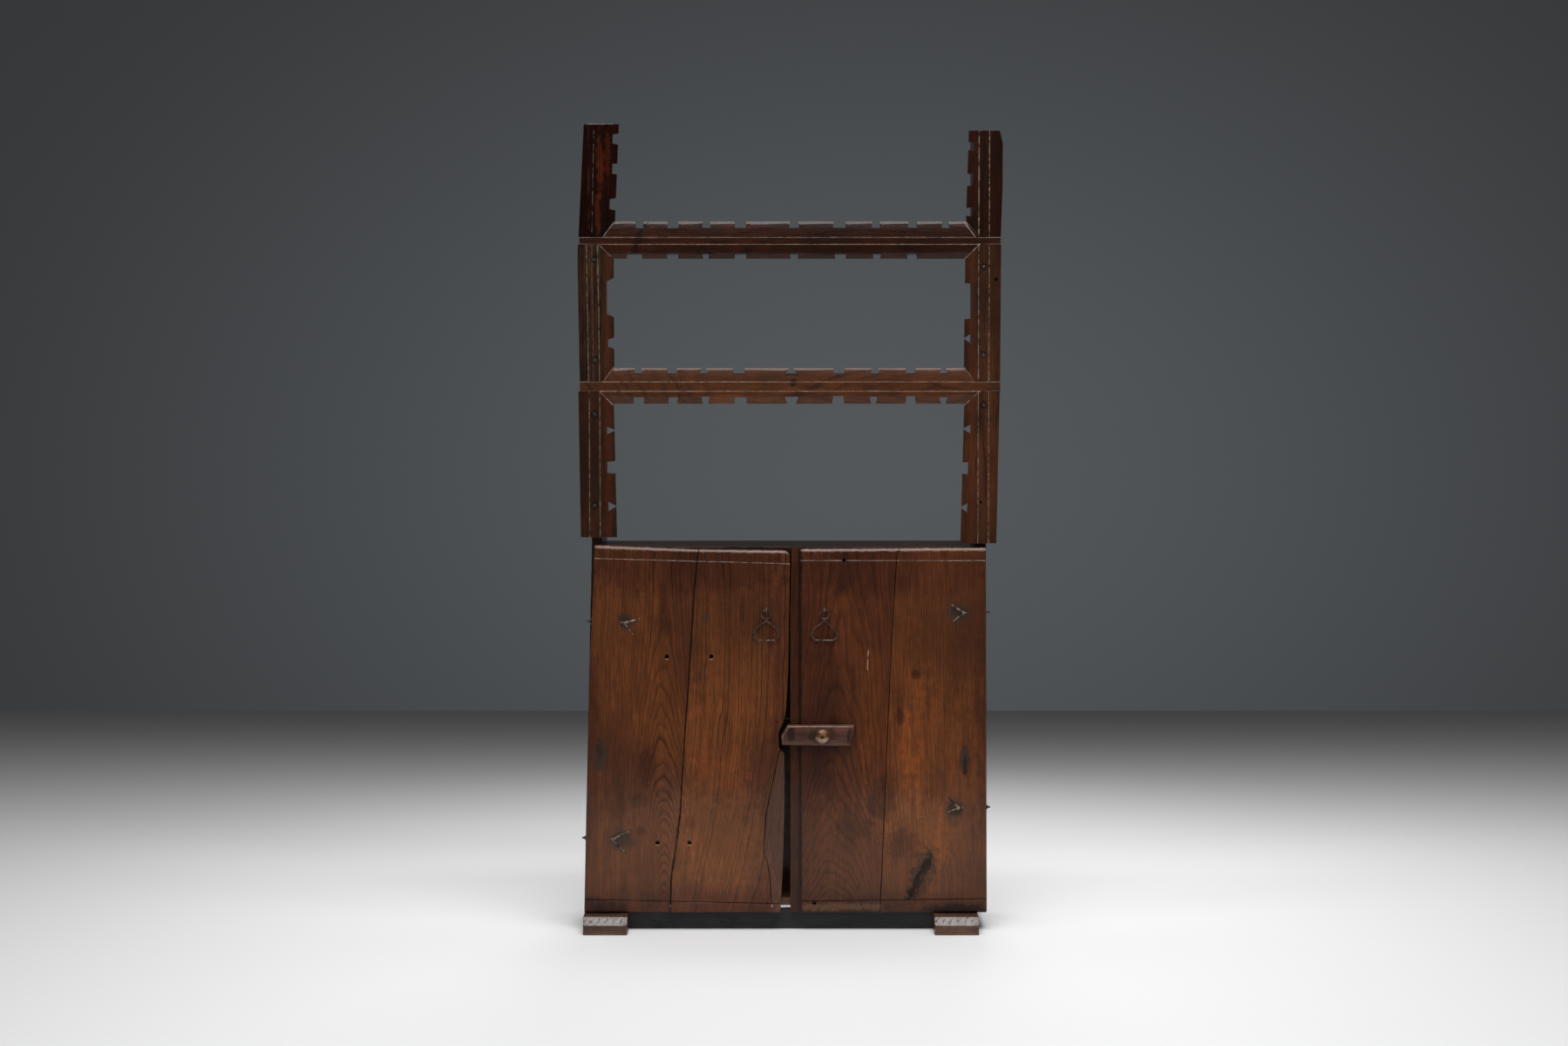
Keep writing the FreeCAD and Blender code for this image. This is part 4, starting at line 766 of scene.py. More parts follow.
upper_left_marks = spots(EMBER, (-442, 1790, 10, 70, 0.24, 1), (-448, 1680, 8, 60, 0.22, 1),
                         (-424, 1820, 9, 50, 0.14, 1))
# The long line is dust. The short line across the stile's top is a painted highlight on its end-grain arris.
upper_left_marks += [line((-461, 1640), (-456, 1876), 1.4, DUST_AND_HIGHLIGHT, 0.16, 1.2),
                     line((-486, left_tip), (-410, left_tip), 2.6, RUBBED_AND_HIGHLIGHT, 0.3, 0.9)]
top_rail_oak = frame_oak(
    "oak_top_rail", "X", (1640, 60), (0.01, 0.01), RACK_TONES,
    rail_dust_and_highlight(TOP_RAIL, 0.22) + patch_joint + top_mitres, ring=3.2, wander=8, seed=7, gloss=0.32, rubbed=0.45)
middle_rail_oak = frame_oak(
    "oak_middle_rail", "X", (1285, 60), (0.02, 0.03), RAIL_TONES,
    rail_dust_and_highlight(MIDDLE_RAIL, 0.35) + middle_mitres + nail_stains, wander=8, seed=8, rubbed=0.45)
upper_left_oak = frame_oak(
    "oak_upper_left_stile", "Z", (-450, -60), (0.02, 0.02), RACK_RED_TONES,
    upper_left_marks + nail_stains + top_mitres, seed=9, gloss=0.26, rubbed=0.2)
middle_left_oak = frame_oak(
    "oak_middle_left_stile", "Z", (-456, -60), (0.01, 0.02), GREY_TONES,
    inner_flank(-1, 1292, 1612) + fissure_lines + nail_stains + top_mitres + middle_mitres,
    ring=2.6, seed=10, gloss=0.5, rings=0.7, polish=0.12)
lower_left_oak = frame_oak(
    "oak_lower_left_stile", "Z", (-440, -70), (0.02, 0.02), LEFT_LOWER_TONES,
    stile_dust_and_highlight(-1, 927, 1270, 456, 0.35) + inner_flank(-1, 927, 1270) + nail_stains + middle_mitres, seed=11)
upper_right_oak = frame_oak(
    "oak_upper_right_stile", "Z", (440, -70), (0.02, 0.02), RACK_TONES,
    stile_dust_and_highlight(1, 1628, 1876, 452) + nail_stains + top_mitres, seed=12, gloss=0.32)
right_stile_oak = frame_oak(
    "oak_right_stiles", "Z", (440, -70), (0.02, 0.02), LOWER_TONES,
    stile_dust_and_highlight(1, 913, 1612, 452, 0.4) + inner_flank(1, 913, 1612) + nail_stains + top_mitres + middle_mitres,
    seed=12)

# %% Materials: case and feet
CASE_TONES = tones((48, 28, 20), (32, 20, 15), (15, 10, 8))
HIDDEN_TONES = tones((118, 84, 56), (88, 60, 41), (46, 31, 22))
FOOT_TONES = tones((106, 78, 60), (74, 53, 41), (32, 22, 17))
PLINTH_TONES = tones((50, 49, 51), (36, 35, 37), (17, 16, 16))
BUTTON_TONES = tones((84, 55, 44), (58, 38, 31), (28, 18, 15))
# The pale tone of the feet's up-facing bevel: unwaxed wood with a painted reflection of the overhead light.
BARE_AND_SHEEN_TONE = tone(113, 105, 103)
BARE_DROP = 9
BARE_REACH = 16
BUTTON_FRONT = -122


def bare_and_sheen_finish(*values, **named):
    """Oak whose up-facing bevel is painted pale, unwaxed wood with a painted reflection of the light above,
    most of all in its middle.
    """
    material = oak(*values, **named)
    tree = material.node_tree
    shader = tree.nodes["Principled BSDF"]
    below = shader.inputs["Base Color"].links[0].from_socket
    point = object_point(tree)
    bare_and_sheen = place(tree, "ShaderNodeAttribute", attribute_name="bare_and_sheen").outputs["Fac"]
    worn = soft_step(tree, noise_at(tree, point, 70, 4, 0.6), 0.24, 0.44)
    middles = []
    for name in ("foot_left", "foot_right"):
        low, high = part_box(name)
        middles.append(use_group(tree, spot_mark, {
            "Place": point, "X": (low.x + high.x) / 2, "Z": high.z - BARE_DROP * MM,
            "Half Width": 0.5 * (high.x - low.x), "Half Height": BARE_REACH * MM,
            "Front": low.y + BARE_REACH * MM, "Ragged": 0.45})["Mask"])
    middle = times_plus(tree, math_step(tree, "MAXIMUM", *middles), 0.75, 0.25)
    mask = times(tree, times(tree, bare_and_sheen, worn), middle)
    feed(tree, shader.inputs["Base Color"], blend_colour(tree, mask, below, BARE_AND_SHEEN_TONE))
    return material


case_oak = oak("oak_case", "Z", (0, 300), (0.02, 0.02), CASE_TONES, ring=3.6, wander=14, seed=13)
shelf_oak = oak("oak_shelves", "X", (1200, 120), (0.02, 0.02), CASE_TONES, ring=3.6, wander=14, seed=14)
hidden_oak = oak("oak_hidden", "X", (400, 260), (0.02, 0.04), HIDDEN_TONES, ring=3.6, wander=14, seed=15,
                 gloss=0.6)
foot_oak = bare_and_sheen_finish("oak_feet", "Y", (-440, -60), (0.02, 0.02), FOOT_TONES, ring=2.8, wander=6, seed=16,
                        gloss=0.42)
plinth_oak = oak("oak_plinth", "X", (20, 60), (0.02, 0.02), PLINTH_TONES, ring=2.8, wander=6, seed=17,
                 gloss=0.6)
button_marks_and_highlights = (
    spots(ROSY, (122, 479, 30, 7, 0.1, 0.9), (34, 478, 30, 6, 0.06, 0.9))
    + spots(PALE, (60, 447, 84, 8, 0.045, 0.8))
    + spots(SOOT_AND_SHADE, (2, 466, 10, 20, 0.6, 0.8), (142, 462, 9, 26, 0.6, 0.6), (54, 462, 12, 16, 0.5, 0.7),
            (98, 466, 10, 20, 0.35, 0.7))
    # These lines are painted highlights along the top, bottom and left bevels, the top one rosy.
    + [line((0, 484), (150, 484), 4, ROSY, 0.26, 0.5), line((-12, 441.5), (146, 440.5), 2.5, RUBBED_AND_HIGHLIGHT, 0.1),
       line((-18, 458), (-4, 484), 4, RUBBED_AND_HIGHLIGHT, 0.12, 0.7)])
button_oak = oak("oak_turn_button", "X", (430, -60), (0.02, 0.02), BUTTON_TONES, ring=2.6, wander=5,
                 seed=18, gloss=0.32, marks=on_front(BUTTON_FRONT, button_marks_and_highlights))
print("timber materials", len(bpy.data.materials))

# %% [markdown]
# ## Wrought iron and worn brass
#
# The hinges, pulls and nails were forged by hand and have rusted brown in their
# hollows, while fingers keep the pulls' wire bright. The staples are a lighter
# copy of the same iron, a painted highlight. The stud is brass gone brown, golden
# above and dusty below, with a dark pit where its pin was beaten over. Each
# finish is a metal base with a mask that turns it into a dull, rougher crust.

# %% Materials: metals
CRUST_ROUGHNESS = 0.62
METAL_BUMP_DEPTH = 0.0006


def metal(name, bright, crust, cover, rough, scale, bump, marks=()):
    material, tree, shader = new_material(name)
    point = object_point(tree)
    patch = soft_step(tree, noise_at(tree, point, scale, 4, 0.65), cover - 0.12, cover + 0.12)
    pits = noise_at(tree, point, scale * 6, 2, 0.6)
    colour = paint_marks(tree, point, blend_colour(tree, patch, tone(*crust), tone(*bright)), marks)[0]
    height = times_plus(tree, pits, 0.4, patch)
    fill(tree, shader, {
        "Base Color": colour, "Metallic": times_plus(tree, patch, 0.55, 0.4),
        "Roughness": times_plus(tree, patch, rough - CRUST_ROUGHNESS, CRUST_ROUGHNESS),
        "Normal": relief(tree, bump, METAL_BUMP_DEPTH, height)})
    return material


low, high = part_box("turn_button_stud")
STUD_X = (low.x + high.x) / 2 / MM
STUD_Z = (low.z + high.z) / 2 / MM
STUD_FRONT = low.y / MM
stud_marks = on_front(STUD_FRONT, [spot(STUD_X, STUD_Z + 6, 13, 8, GILT, 0.7, 0.4),
                                   spot(STUD_X, STUD_Z - 8, 12, 7, RUBBED_AND_HIGHLIGHT, 0.22, 0.4),
                                   spot(STUD_X - 1, STUD_Z + 0.5, 4.4, 4.4, PIT, 0.7, 0.4)])
dark_iron = metal("iron_forged", (160, 145, 123), (30, 24, 20), 0.53, 0.3, 120, 0.5)
# The staples' iron is a lighter copy of the pulls' iron: a painted highlight.
staple_iron_highlit = metal("iron_staple_highlit", (150, 140, 126), (34, 27, 22), 0.5, 0.26, 110, 0.35)
pull_iron = metal("iron_pull_wire", (112, 100, 88), (30, 23, 19), 0.52, 0.3, 110, 0.35)
nail_iron = metal("iron_nails", (96, 88, 79), (24, 19, 16), 0.54, 0.3, 160, 0.4)
old_brass = metal("brass_stud", (140, 110, 84), (96, 70, 52), 0.5, 0.3, 60, 0.3, stud_marks)
print("metals", dark_iron.name, staple_iron_highlit.name, pull_iron.name, nail_iron.name, old_brass.name)

# %% [markdown]
# ## Boards that have been used for centuries
#
# A board's solid has mathematically sharp arrises. Each is copied, its loose
# triangles are welded, the arrises are bevelled, and planes cut the faces into
# cells a hand's breadth wide or less. Then every point moves a little inwards by
# smooth noise. It only moves inwards, so boards never grow into each other, and
# the bevel faces are marked for the wear group.

# %% Functions: worn copies
FLAT_ANGLE = math.radians(0.4)
ARRIS_ANGLE = math.radians(40)
SMOOTH_ANGLE = math.radians(38)


def face_depth(edge, face):
    """How far a face reaches from one of its edges."""
    start = edge.verts[0].co
    run = (edge.verts[1].co - start).normalized()
    reach = 0.0
    for vert in face.verts:
        gap = vert.co - start
        reach = max(reach, (gap - run * gap.dot(run)).length)
    return reach


def ease_arrises(shape, width):
    """Bevels the convex arrises that have room for it and marks the new faces."""
    flag = shape.faces.layers.float.new("arris")
    chosen = []
    for edge in shape.edges:
        if len(edge.link_faces) != 2 or not edge.is_convex or edge.calc_face_angle(0.0) < ARRIS_ANGLE:
            continue
        depth = min(face_depth(edge, face) for face in edge.link_faces)
        if edge.calc_length() < 2.0 * width or depth < 2.5 * width:
            continue
        chosen.append(edge)
    made = bmesh.ops.bevel(shape, geom=chosen, offset=width, segments=2, profile=0.5, affect="EDGES",
                           clamp_overlap=False)
    for face in made["faces"]:
        face[flag] = 1.0
    return len(chosen)


def cut_in_cells(shape, cell):
    """Cuts every face by planes across the chosen directions."""
    for axis in range(3):
        if not cell[axis]:
            continue
        places = [vert.co[axis] for vert in shape.verts]
        low, high = min(places), max(places)
        count = int((high - low) / (cell[axis] * MM))
        normal = Vector([1.0 if index == axis else 0.0 for index in range(3)])
        for step in range(1, count):
            middle = normal * (low + (high - low) * step / count)
            bmesh.ops.bisect_plane(shape, geom=shape.verts[:] + shape.edges[:] + shape.faces[:],
                                   dist=WELD, plane_co=middle, plane_no=normal)


def in_fixed_order(shape):
    """The same faces in an order that follows from their places, so that runs repeat exactly."""
    verts = sorted(shape.verts, key=lambda vert: tuple(round(value, 5) for value in vert.co))
    number = {vert: index for index, vert in enumerate(verts)}
    flag = shape.faces.layers.float["arris"]
    rows = []
    for face in shape.faces:
        corners = [number[vert] for vert in face.verts]
        start = corners.index(min(corners))
        rows.append((corners[start:] + corners[:start], face[flag]))
    ordered = bmesh.new()
    flag = ordered.faces.layers.float.new("arris")
    points = [ordered.verts.new(vert.co) for vert in verts]
    for corners, value in sorted(rows):
        face = ordered.faces.new([points[index] for index in corners])
        face[flag] = value
    shape.free()
    ordered.normal_update()
    return ordered


def cut_block(node, arris, cell):
    """A welded copy with eased arrises, cut in cells, and how many arrises were eased."""
    shape = welded(node)
    bmesh.ops.dissolve_limit(shape, angle_limit=FLAT_ANGLE, verts=shape.verts, edges=shape.edges)
    count = ease_arrises(shape, arris * MM)
    cut_in_cells(shape, cell)
    return in_fixed_order(shape), count


def wander_in(shape, depth, scale, seed, sides=0.4):
    """Moves points inwards by smooth noise.

    Broad faces move straight in. The sides move less, so that joints stay tight.
    """
    shape.normal_update()
    spans = [max(places) - min(places) for places in zip(*(vert.co for vert in shape.verts))]
    thin = spans.index(min(spans))
    shift = Vector((seed * 1.7, seed * 0.9, seed * 2.3))
    for vert in shape.verts:
        slow = noise.noise(vert.co / scale + shift)
        quick = noise.noise(vert.co / (scale * 0.22) + shift)
        share = 0.5 + 0.35 * slow + 0.15 * quick
        broad = [face.normal for face in vert.link_faces if abs(face.normal[thin]) > 0.98]
        way = broad[0] if broad else vert.normal * min(vert.calc_shell_factor(), 1.6) * sides
        vert.co -= way * depth * share


def finish_piece(shape, name, node, material):
    """Turns a bmesh into a piece that stands for a CAD node."""
    mesh = bpy.data.meshes.new(name)
    shape.to_mesh(mesh)
    shape.free()
    mesh.polygons.foreach_set("use_smooth", [True] * len(mesh.polygons))
    mesh.set_sharp_from_angle(angle=SMOOTH_ANGLE)
    mesh.materials.append(material)
    piece = new_object(name, mesh)
    weigh = piece.modifiers.new("even_normals", "WEIGHTED_NORMAL")
    weigh.keep_sharp = True
    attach(piece, frame["nodes"][node]["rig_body"])
    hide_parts(node)
    return piece


def weather(shape, across, along, depth):
    """Cuts long fissures with the grain into the front of an upright piece."""
    shape.normal_update()
    for vert in shape.verts:
        if vert.normal.y > -0.3:
            continue
        streak = noise.noise(Vector((vert.co.x / across, 0.0, vert.co.z / along)))
        share = min(max((abs(streak) - 0.02) * 6.0, 0.0), 1.0)
        vert.co.y += depth * (1.0 - share)


def worn_board(node, material, arris=1.2, cell=(18, 0, 18), depth=0.6, scale=0.09, seed=0, fissures=()):
    shape, count = cut_block(node, arris, cell)
    bmesh.ops.triangulate(shape, faces=[face for face in shape.faces if len(face.verts) > 4])
    wander_in(shape, depth * MM, scale, seed)
    if fissures:
        weather(shape, *(size * MM for size in fissures))
    piece = finish_piece(shape, "worn_" + node, node, material)
    print(piece.name, "arrises", count, "faces", len(piece.data.polygons))


# %% [markdown]
# ## Doors, case and rack
#
# The doors get small cells and a shallow wander, as planed and rubbed boards
# have. The case boards behind them are rougher. The mouldings keep their crisp
# notches, so their arrises are eased by less than a millimetre.

# %% Pieces: doors
worn_board("left_door_outer_plank", left_outer_oak, seed=1)
worn_board("left_door_inner_plank", left_inner_oak, seed=2)
worn_board("left_door_split_strip", split_oak, seed=3)
worn_board("right_door_inner_plank", right_inner_oak, seed=4)
worn_board("right_door_outer_plank", right_outer_oak, seed=5)
worn_board("turn_button", button_oak, 0.8, (9, 0, 9), 0.35, 0.03, 6)
for side in ("left", "right"):
    for level in ("upper", "lower"):
        worn_board(side + "_door_batten_" + level, hidden_oak, 1.5, (25, 0, 12), 0.8, 0.08, 7)

# %% Pieces: case
for side in ("left", "right"):
    worn_board("side_board_" + side, case_oak, 1.6, (0, 30, 30), 0.9, 0.12, 8)
worn_board("top_board", shelf_oak, 1.6, (30, 30, 0), 0.9, 0.12, 9)
worn_board("bottom_board", hidden_oak, 0.8, (30, 30, 0), 0.4, 0.12, 10)
for name in ("rack_shelf_lower", "rack_shelf_upper"):
    worn_board(name, shelf_oak, 1.4, (30, 30, 0), 0.8, 0.12, 11)
for index in range(1, 5):
    worn_board("back_plank_%d" % index, hidden_oak, 1.4, (30, 0, 30), 1, 0.12, 12 + index)
worn_board("plinth_board", plinth_oak, 1, (24, 0, 12), 0.5, 0.08, 18)

# %% Pieces: rack
WEATHERED = ((1.5, 0, 8), (7, 190, 1.1))
SHELTERED = ((3, 0, 12), (9, 150, 0.45))
rail_finishes = {
    "top_rail": top_rail_oak, "top_rail_patch": top_rail_oak, "middle_rail": middle_rail_oak}
for seed, (node, material) in enumerate(rail_finishes.items(), 21):
    worn_board(node, material, 0.6, (16, 0, 0), 0.45, 0.06, seed)
stile_finishes = {
    "left_stile_upper": upper_left_oak, "left_stile_middle": middle_left_oak,
    "left_stile_lower": lower_left_oak, "right_stile_upper": upper_right_oak,
    "right_stile_middle": right_stile_oak, "right_stile_lower": right_stile_oak}
for seed, (node, material) in enumerate(stile_finishes.items(), 24):
    cell, fissures = WEATHERED if node == "left_stile_middle" else SHELTERED
    worn_board(node, material, 0.6, cell, 0.45, 0.06, seed, fissures)

# %% [markdown]
# ## Worm-eaten feet
#
# The feet's front bevel was cut by a few slanting strokes of a gouge, and worms
# have bored it since. Both repeat, so a node tree makes them: points scattered
# on the bevel carry small rods, a row of points along it carries three-sided
# bars, and one boolean takes both out of the block. The depth is real, so the
# holes stay dark in any light.

# %% Geometry nodes: holes and strokes
BEVEL_WAY = (0, -0.7071, 0.7071)


def random_between(tree, seed, low, high):
    node = place(tree, "FunctionNodeRandomValue", {"Seed": seed, 2: low, 3: high}, data_type="FLOAT")
    return node.outputs[1]


def make_bevel_nodes():
    tree, entry, leave = new_tree(
        "gouged_and_bored", "GeometryNodeTree",
        {"Block": "Geometry", "Hole Radius": 0.0009, "Hole Depth": 0.008, "Holes per Area": 9000.0,
         "Stroke Spacing": 0.017, "Stroke Width": 0.0017, "Stroke Length": 0.034, "Stroke Slant": 0.9,
         "Bevel Height": 0.032, "Bevel Depth": -0.158, "Row Start": -0.48, "Seed": 3, "Wood": "Material"},
        ["Foot"], "Geometry")
    normal = tree.nodes.new("GeometryNodeInputNormal").outputs[0]
    facing = vector_step(tree, "DOT_PRODUCT", normal, BEVEL_WAY, output="Value")
    on_bevel = place(tree, "FunctionNodeCompare", {0: facing, 1: 0.9}, data_type="FLOAT",
                     operation="GREATER_THAN").outputs[0]
    scattered = place(tree, "GeometryNodeDistributePointsOnFaces", {
        "Mesh": entry["Block"], "Selection": on_bevel, "Density": entry["Holes per Area"],
        "Seed": entry["Seed"]}).outputs
    rod = place(tree, "GeometryNodeMeshCylinder", {
        "Vertices": 7, "Radius": entry["Hole Radius"], "Depth": entry["Hole Depth"]})
    holes = place(tree, "GeometryNodeInstanceOnPoints", {
        "Points": scattered["Points"], "Instance": rod.outputs["Mesh"], "Rotation": scattered["Rotation"],
        "Scale": random_between(tree, entry["Seed"], 0.5, 1.5)})
    start = joined(tree, entry["Row Start"], entry["Bevel Depth"], entry["Bevel Height"])
    row = place(tree, "GeometryNodeMeshLine", {
        "Count": 6, "Start Location": start, "Offset": joined(tree, entry["Stroke Spacing"])},
                mode="OFFSET", count_mode="TOTAL")
    bar = place(tree, "GeometryNodeMeshCylinder", {
        "Vertices": 3, "Radius": entry["Stroke Width"], "Depth": entry["Stroke Length"]})
    slant = times(tree, entry["Stroke Slant"], random_between(tree, entry["Seed"], 0.85, 1.15))
    strokes = place(tree, "GeometryNodeInstanceOnPoints", {
        "Points": row.outputs["Mesh"], "Instance": bar.outputs["Mesh"],
        "Rotation": joined(tree, -math.pi / 4, slant)})
    tools = place(tree, "GeometryNodeJoinGeometry")
    tree.links.new(holes.outputs["Instances"], tools.inputs[0])
    tree.links.new(strokes.outputs["Instances"], tools.inputs[0])
    real = place(tree, "GeometryNodeRealizeInstances", {"Geometry": tools.outputs[0]})
    cut = place(tree, "GeometryNodeMeshBoolean", {"Mesh 1": entry["Block"]},
                operation="DIFFERENCE", solver="MANIFOLD")
    tree.links.new(real.outputs[0], cut.inputs["Mesh 2"])
    painted = place(tree, "GeometryNodeSetMaterial", {
        "Geometry": cut.outputs["Mesh"], "Material": entry["Wood"]})
    feed(tree, leave["Foot"], painted.outputs["Geometry"])
    return tree


def run_nodes(name, mesh, tree, values):
    """Runs a node tree on a mesh and returns the result as a plain mesh."""
    carrier = new_object(name + "_carrier", mesh)
    step = carrier.modifiers.new("nodes", "NODES")
    step.node_group = tree
    for item in tree.interface.items_tree:
        if item.item_type == "SOCKET" and item.in_out == "INPUT" and item.name in values:
            step[item.identifier] = values[item.name]
    bpy.context.view_layer.update()
    grown = carrier.evaluated_get(bpy.context.evaluated_depsgraph_get())
    result = bpy.data.meshes.new_from_object(grown)
    result.name = name
    carrier.modifiers.remove(step)
    bpy.data.objects.remove(carrier)
    return result


bevel_nodes = make_bevel_nodes()
print("tree", bevel_nodes.name, "nodes", len(bevel_nodes.nodes))

# %% Pieces: feet
FOOT_CELL = (9, 12, 9)


def mark_bare_and_sheen(mesh):
    """Marks the faces that look up and forward, where the wood is unwaxed and a painted reflection is laid.
    """
    flags = mesh.attributes.new("bare_and_sheen", "FLOAT", "FACE")
    steep = Vector(BEVEL_WAY)
    flags.data.foreach_set("value", [1.0 if face.normal.dot(steep) > 0.8 else 0.0 for face in mesh.polygons])


def foot(node, seed):
    shape = cut_block(node, 1.2, FOOT_CELL)[0]
    wander_in(shape, 0.8 * MM, 0.04, seed, 1.0)
    bmesh.ops.triangulate(shape, faces=shape.faces)
    block = bpy.data.meshes.new(node + "_block")
    shape.to_mesh(block)
    shape.free()
    low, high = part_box(node)
    bored = run_nodes(node + "_bored", block, bevel_nodes, {
        "Seed": seed, "Row Start": low.x + 4 * MM, "Bevel Depth": low.y + 9 * MM,
        "Bevel Height": high.z - 9 * MM, "Wood": foot_oak})
    mark_bare_and_sheen(bored)
    shape = bmesh.new()
    shape.from_mesh(bored)
    piece = finish_piece(shape, "worn_" + node, node, foot_oak)
    print(piece.name, "faces", len(piece.data.polygons))


foot("foot_left", 19)
foot("foot_right", 23)

# %% [markdown]
# ## Forged ironwork
#
# Hammer marks are too small to model one by one. Welding a copy and moving its
# points by fine noise gives wire and tails that are never quite round.

# %% Pieces: hinges and pulls


def forged(node, material, depth, scale, seed):
    shape = welded(node)
    wander_in(shape, depth * MM, scale, seed, 1.0)
    piece = finish_piece(shape, "forged_" + node, node, material)
    print(piece.name, "faces", len(piece.data.polygons))


for side in ("left", "right"):
    for level in ("upper", "lower"):
        forged("jamb_pin_" + side + "_" + level, nail_iron, 0.3, 0.007, 31)
        forged(side + "_door_pin_" + level, dark_iron, 0.3, 0.007, 32)
    forged(side + "_door_staple", staple_iron_highlit, 0.25, 0.005, 33)
    forged(side + "_bail", pull_iron, 0.3, 0.006, 34)
forged("turn_button_stud", old_brass, 0.25, 0.008, 35)

# %% [markdown]
# ## Nails from one blow each
#
# A forged nail's head is a low pyramid of four or five blows, and no two are
# turned alike. This is what repeats on the cupboard, so Geometry Nodes place
# them: a mesh of single points, one point for each nail of the solids, carries a
# small cone with five sides, turned and sized by a seeded random value. The
# shanks stay in the solids' own copies, below the heads.

# %% Geometry nodes: forged heads


def make_head_nodes():
    tree, entry, leave = new_tree(
        "forged_heads", "GeometryNodeTree",
        {"Points": "Geometry", "Head Radius": 0.006, "Head Height": 0.0022, "Sink": 0.0022, "Seed": 5,
         "Iron": "Material"}, ["Heads"], "Geometry")
    cone = place(tree, "GeometryNodeMeshCone", {
        "Vertices": 5, "Radius Top": times(tree, entry["Head Radius"], 0.3),
        "Radius Bottom": entry["Head Radius"], "Depth": entry["Head Height"]})
    turn = random_between(tree, entry["Seed"], 0, 2 * math.pi)
    moved = place(tree, "GeometryNodeSetPosition", {
        "Geometry": entry["Points"], "Offset": joined(tree, 0, entry["Sink"])})
    copies = place(tree, "GeometryNodeInstanceOnPoints", {
        "Points": moved.outputs["Geometry"], "Instance": cone.outputs["Mesh"],
        "Rotation": joined(tree, math.pi / 2, turn), "Scale": random_between(tree, entry["Seed"], 0.8, 1.1)})
    real = place(tree, "GeometryNodeRealizeInstances", {"Geometry": copies.outputs["Instances"]})
    painted = place(tree, "GeometryNodeSetMaterial", {
        "Geometry": real.outputs["Geometry"], "Material": entry["Iron"]})
    feed(tree, leave["Heads"], painted.outputs["Geometry"])
    return tree


head_nodes = make_head_nodes()
print("tree", head_nodes.name, "nodes", len(head_nodes.nodes))


def nailed(node, radius, height, seed):
    """Shanks from the solids, heads from the node tree, joined in one piece."""
    points = nail_points(node)
    dots = bpy.data.meshes.new(node + "_points")
    dots.from_pydata([tuple(point) for point in points], [], [])
    heads = run_nodes("heads_" + node, dots, head_nodes, {
        "Head Radius": radius * MM, "Head Height": height * MM, "Sink": height * MM, "Seed": seed,
        "Iron": nail_iron})
    shape = welded(node)
    wander_in(shape, 0.5 * MM, 0.004, seed, 1.0)
    shape.from_mesh(heads)
    piece = finish_piece(shape, "forged_" + node, node, nail_iron)
    print(piece.name, "nails", len(points), "faces", len(piece.data.polygons))


nailed("rack_nails", 6, 2.2, 5)
for side in ("left", "right"):
    nailed(side + "_door_batten_nails", 5, 2, 7)

# %% [markdown]
# ## The studio
#
# The picture was taken in a large dim room with the light held high, so the old
# wax mirrors darkness and the wood stays deep in colour. Lamps high in front
# light the faces, one overhead draws the thin bright lines along upper arrises,
# and the floor ends a few metres in front of the doors, or they would mirror it
# as a grey veil. The grey background is the world itself, a wall would hide the
# cupboard from behind.

# %% Studio floor
FLOOR_COLOUR = tone(236, 236, 237)
# The floor's colour runs darker towards the back: painted shade where the light falls off.
FLOOR_FAR_SHADE_COLOUR = tone(124, 124, 126)
FLOOR_HALF_WIDTH = 9
FLOOR_FRONT = -2.7
FLOOR_BACK = 4.5
FLOOR_SHADE_FADE = (0.8, 4.8)
floor_mesh = bpy.data.meshes.new("studio_floor")
floor_mesh.from_pydata([(-FLOOR_HALF_WIDTH, FLOOR_FRONT, 0), (FLOOR_HALF_WIDTH, FLOOR_FRONT, 0),
                        (FLOOR_HALF_WIDTH, FLOOR_BACK, 0), (-FLOOR_HALF_WIDTH, FLOOR_BACK, 0)],
                       [], [(0, 1, 2, 3)])
floor_paint, floor_tree, floor_shader = new_material("studio_floor_paint")
floor_back = parts_of(floor_tree, object_point(floor_tree))[1]
floor_shade_share = soft_step(floor_tree, floor_back, *FLOOR_SHADE_FADE)
fill(floor_tree, floor_shader, {
    "Base Color": blend_colour(floor_tree, floor_shade_share, FLOOR_COLOUR, FLOOR_FAR_SHADE_COLOUR),
    "Roughness": 0.9, "Specular IOR Level": 0.2})
floor_mesh.materials.append(floor_paint)
floor = new_object("studio_floor", floor_mesh)

# %% Studio lamps


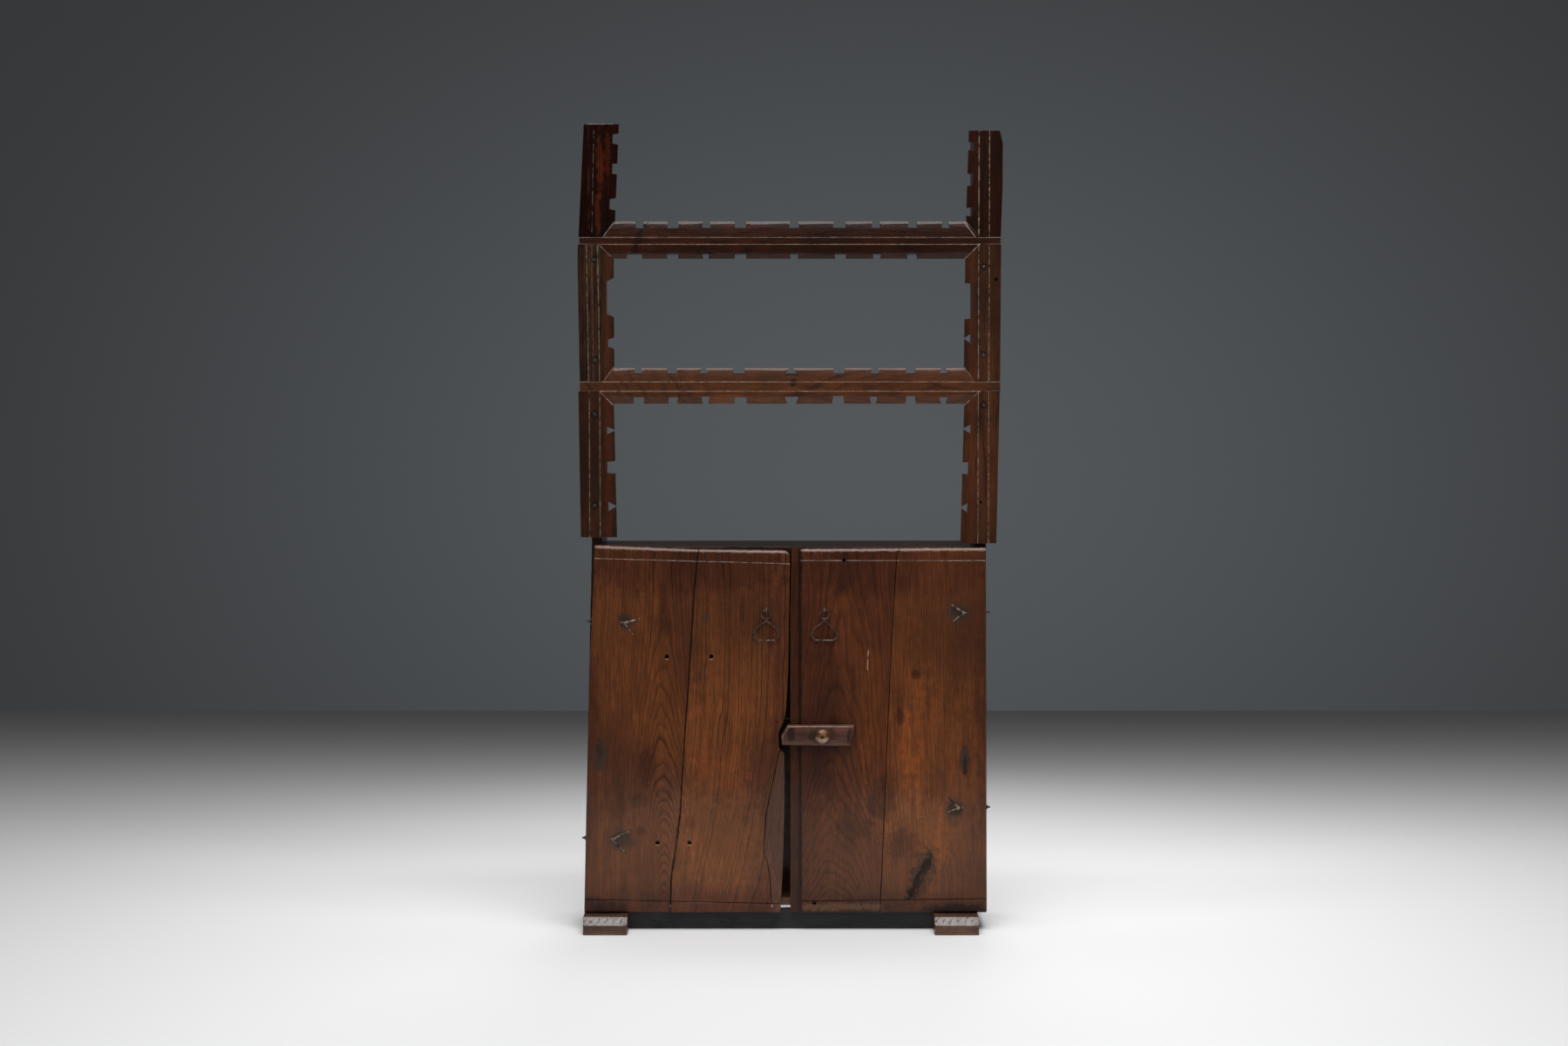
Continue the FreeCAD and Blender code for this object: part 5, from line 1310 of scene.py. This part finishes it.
def lamp(name, place_at, aim, size, power, spread=180, mirrored=True):
    data = bpy.data.lights.new(name, "AREA")
    data.shape = "RECTANGLE"
    data.size, data.size_y = size
    data.energy = power
    data.spread = math.radians(spread)
    holder = new_object(name, data)
    holder.location = place_at
    holder.rotation_euler = (Vector(aim) - Vector(place_at)).to_track_quat("-Z", "Y").to_euler()
    holder.visible_glossy = mirrored


lamp("overhead_box", (0.3, -2.6, 4.4), (0.2, -0.7, 0.5), (3.2, 1.3), 95, 150)
lamp("top_strip", (0, -0.9, 4.4), (0, -0.9, 0), (3, 0.3), 34, 150)
lamp("back_box", (0.4, 0.9, 4.4), (0.4, 1.1, 0), (3.4, 1), 11, 62)
lamp("front_box", (0, -5.6, 3.4), (0, 0, 0.8), (2.6, 1), 56, mirrored=False)
lamp("left_fill_box", (-5.2, -3.6, 1.5), (0, 0, 0.7), (1.6, 1.6), 18, mirrored=False)
lamp("right_fill_box", (5.2, -3.6, 1.5), (0, 0, 0.7), (1.6, 1.6), 26, mirrored=False)
lamp("rear_fill_box", (0.3, 4.2, 1.5), (0, 0, 0.9), (1.6, 1.2), 16, 60, mirrored=False)

# %% World backdrop
BACKDROP_GLOW = tone(83, 87, 90)
BACKDROP_EDGE = tone(55, 56, 58)
GLOW_MIDDLE = (0.024, -0.045)
GLOW_REACH = (0.27, 0.19)
AMBIENT = 0.12


def make_world():
    """A dim wall with a soft glow behind the cupboard, and a faint even light."""
    world = bpy.data.worlds.new("studio_air")
    world.use_nodes = True
    tree = world.node_tree
    paint = tree.nodes["Background"]
    way = parts_of(tree, place(tree, "ShaderNodeTexCoord").outputs["Generated"])
    squares = []
    for part, middle, reach in zip((way[0], way[2]), GLOW_MIDDLE, GLOW_REACH):
        share = math_step(tree, "DIVIDE", minus(tree, part, middle), reach)
        squares.append(times(tree, share, share))
    away = math_step(tree, "SQRT", plus(tree, *squares))
    backdrop = blend_colour(tree, soft_step(tree, away, 0.0, 1.1), BACKDROP_GLOW, BACKDROP_EDGE)
    path = place(tree, "ShaderNodeLightPath").outputs
    seen = math_step(tree, "MAXIMUM", path["Is Camera Ray"], path["Is Glossy Ray"])
    light = blend_colour(tree, seen, (AMBIENT, AMBIENT, AMBIENT, 1), backdrop)
    fill(tree, paint, {"Color": light, "Strength": 1})
    bpy.context.scene.world = world


make_world()
print("lamps", len(bpy.data.lights))
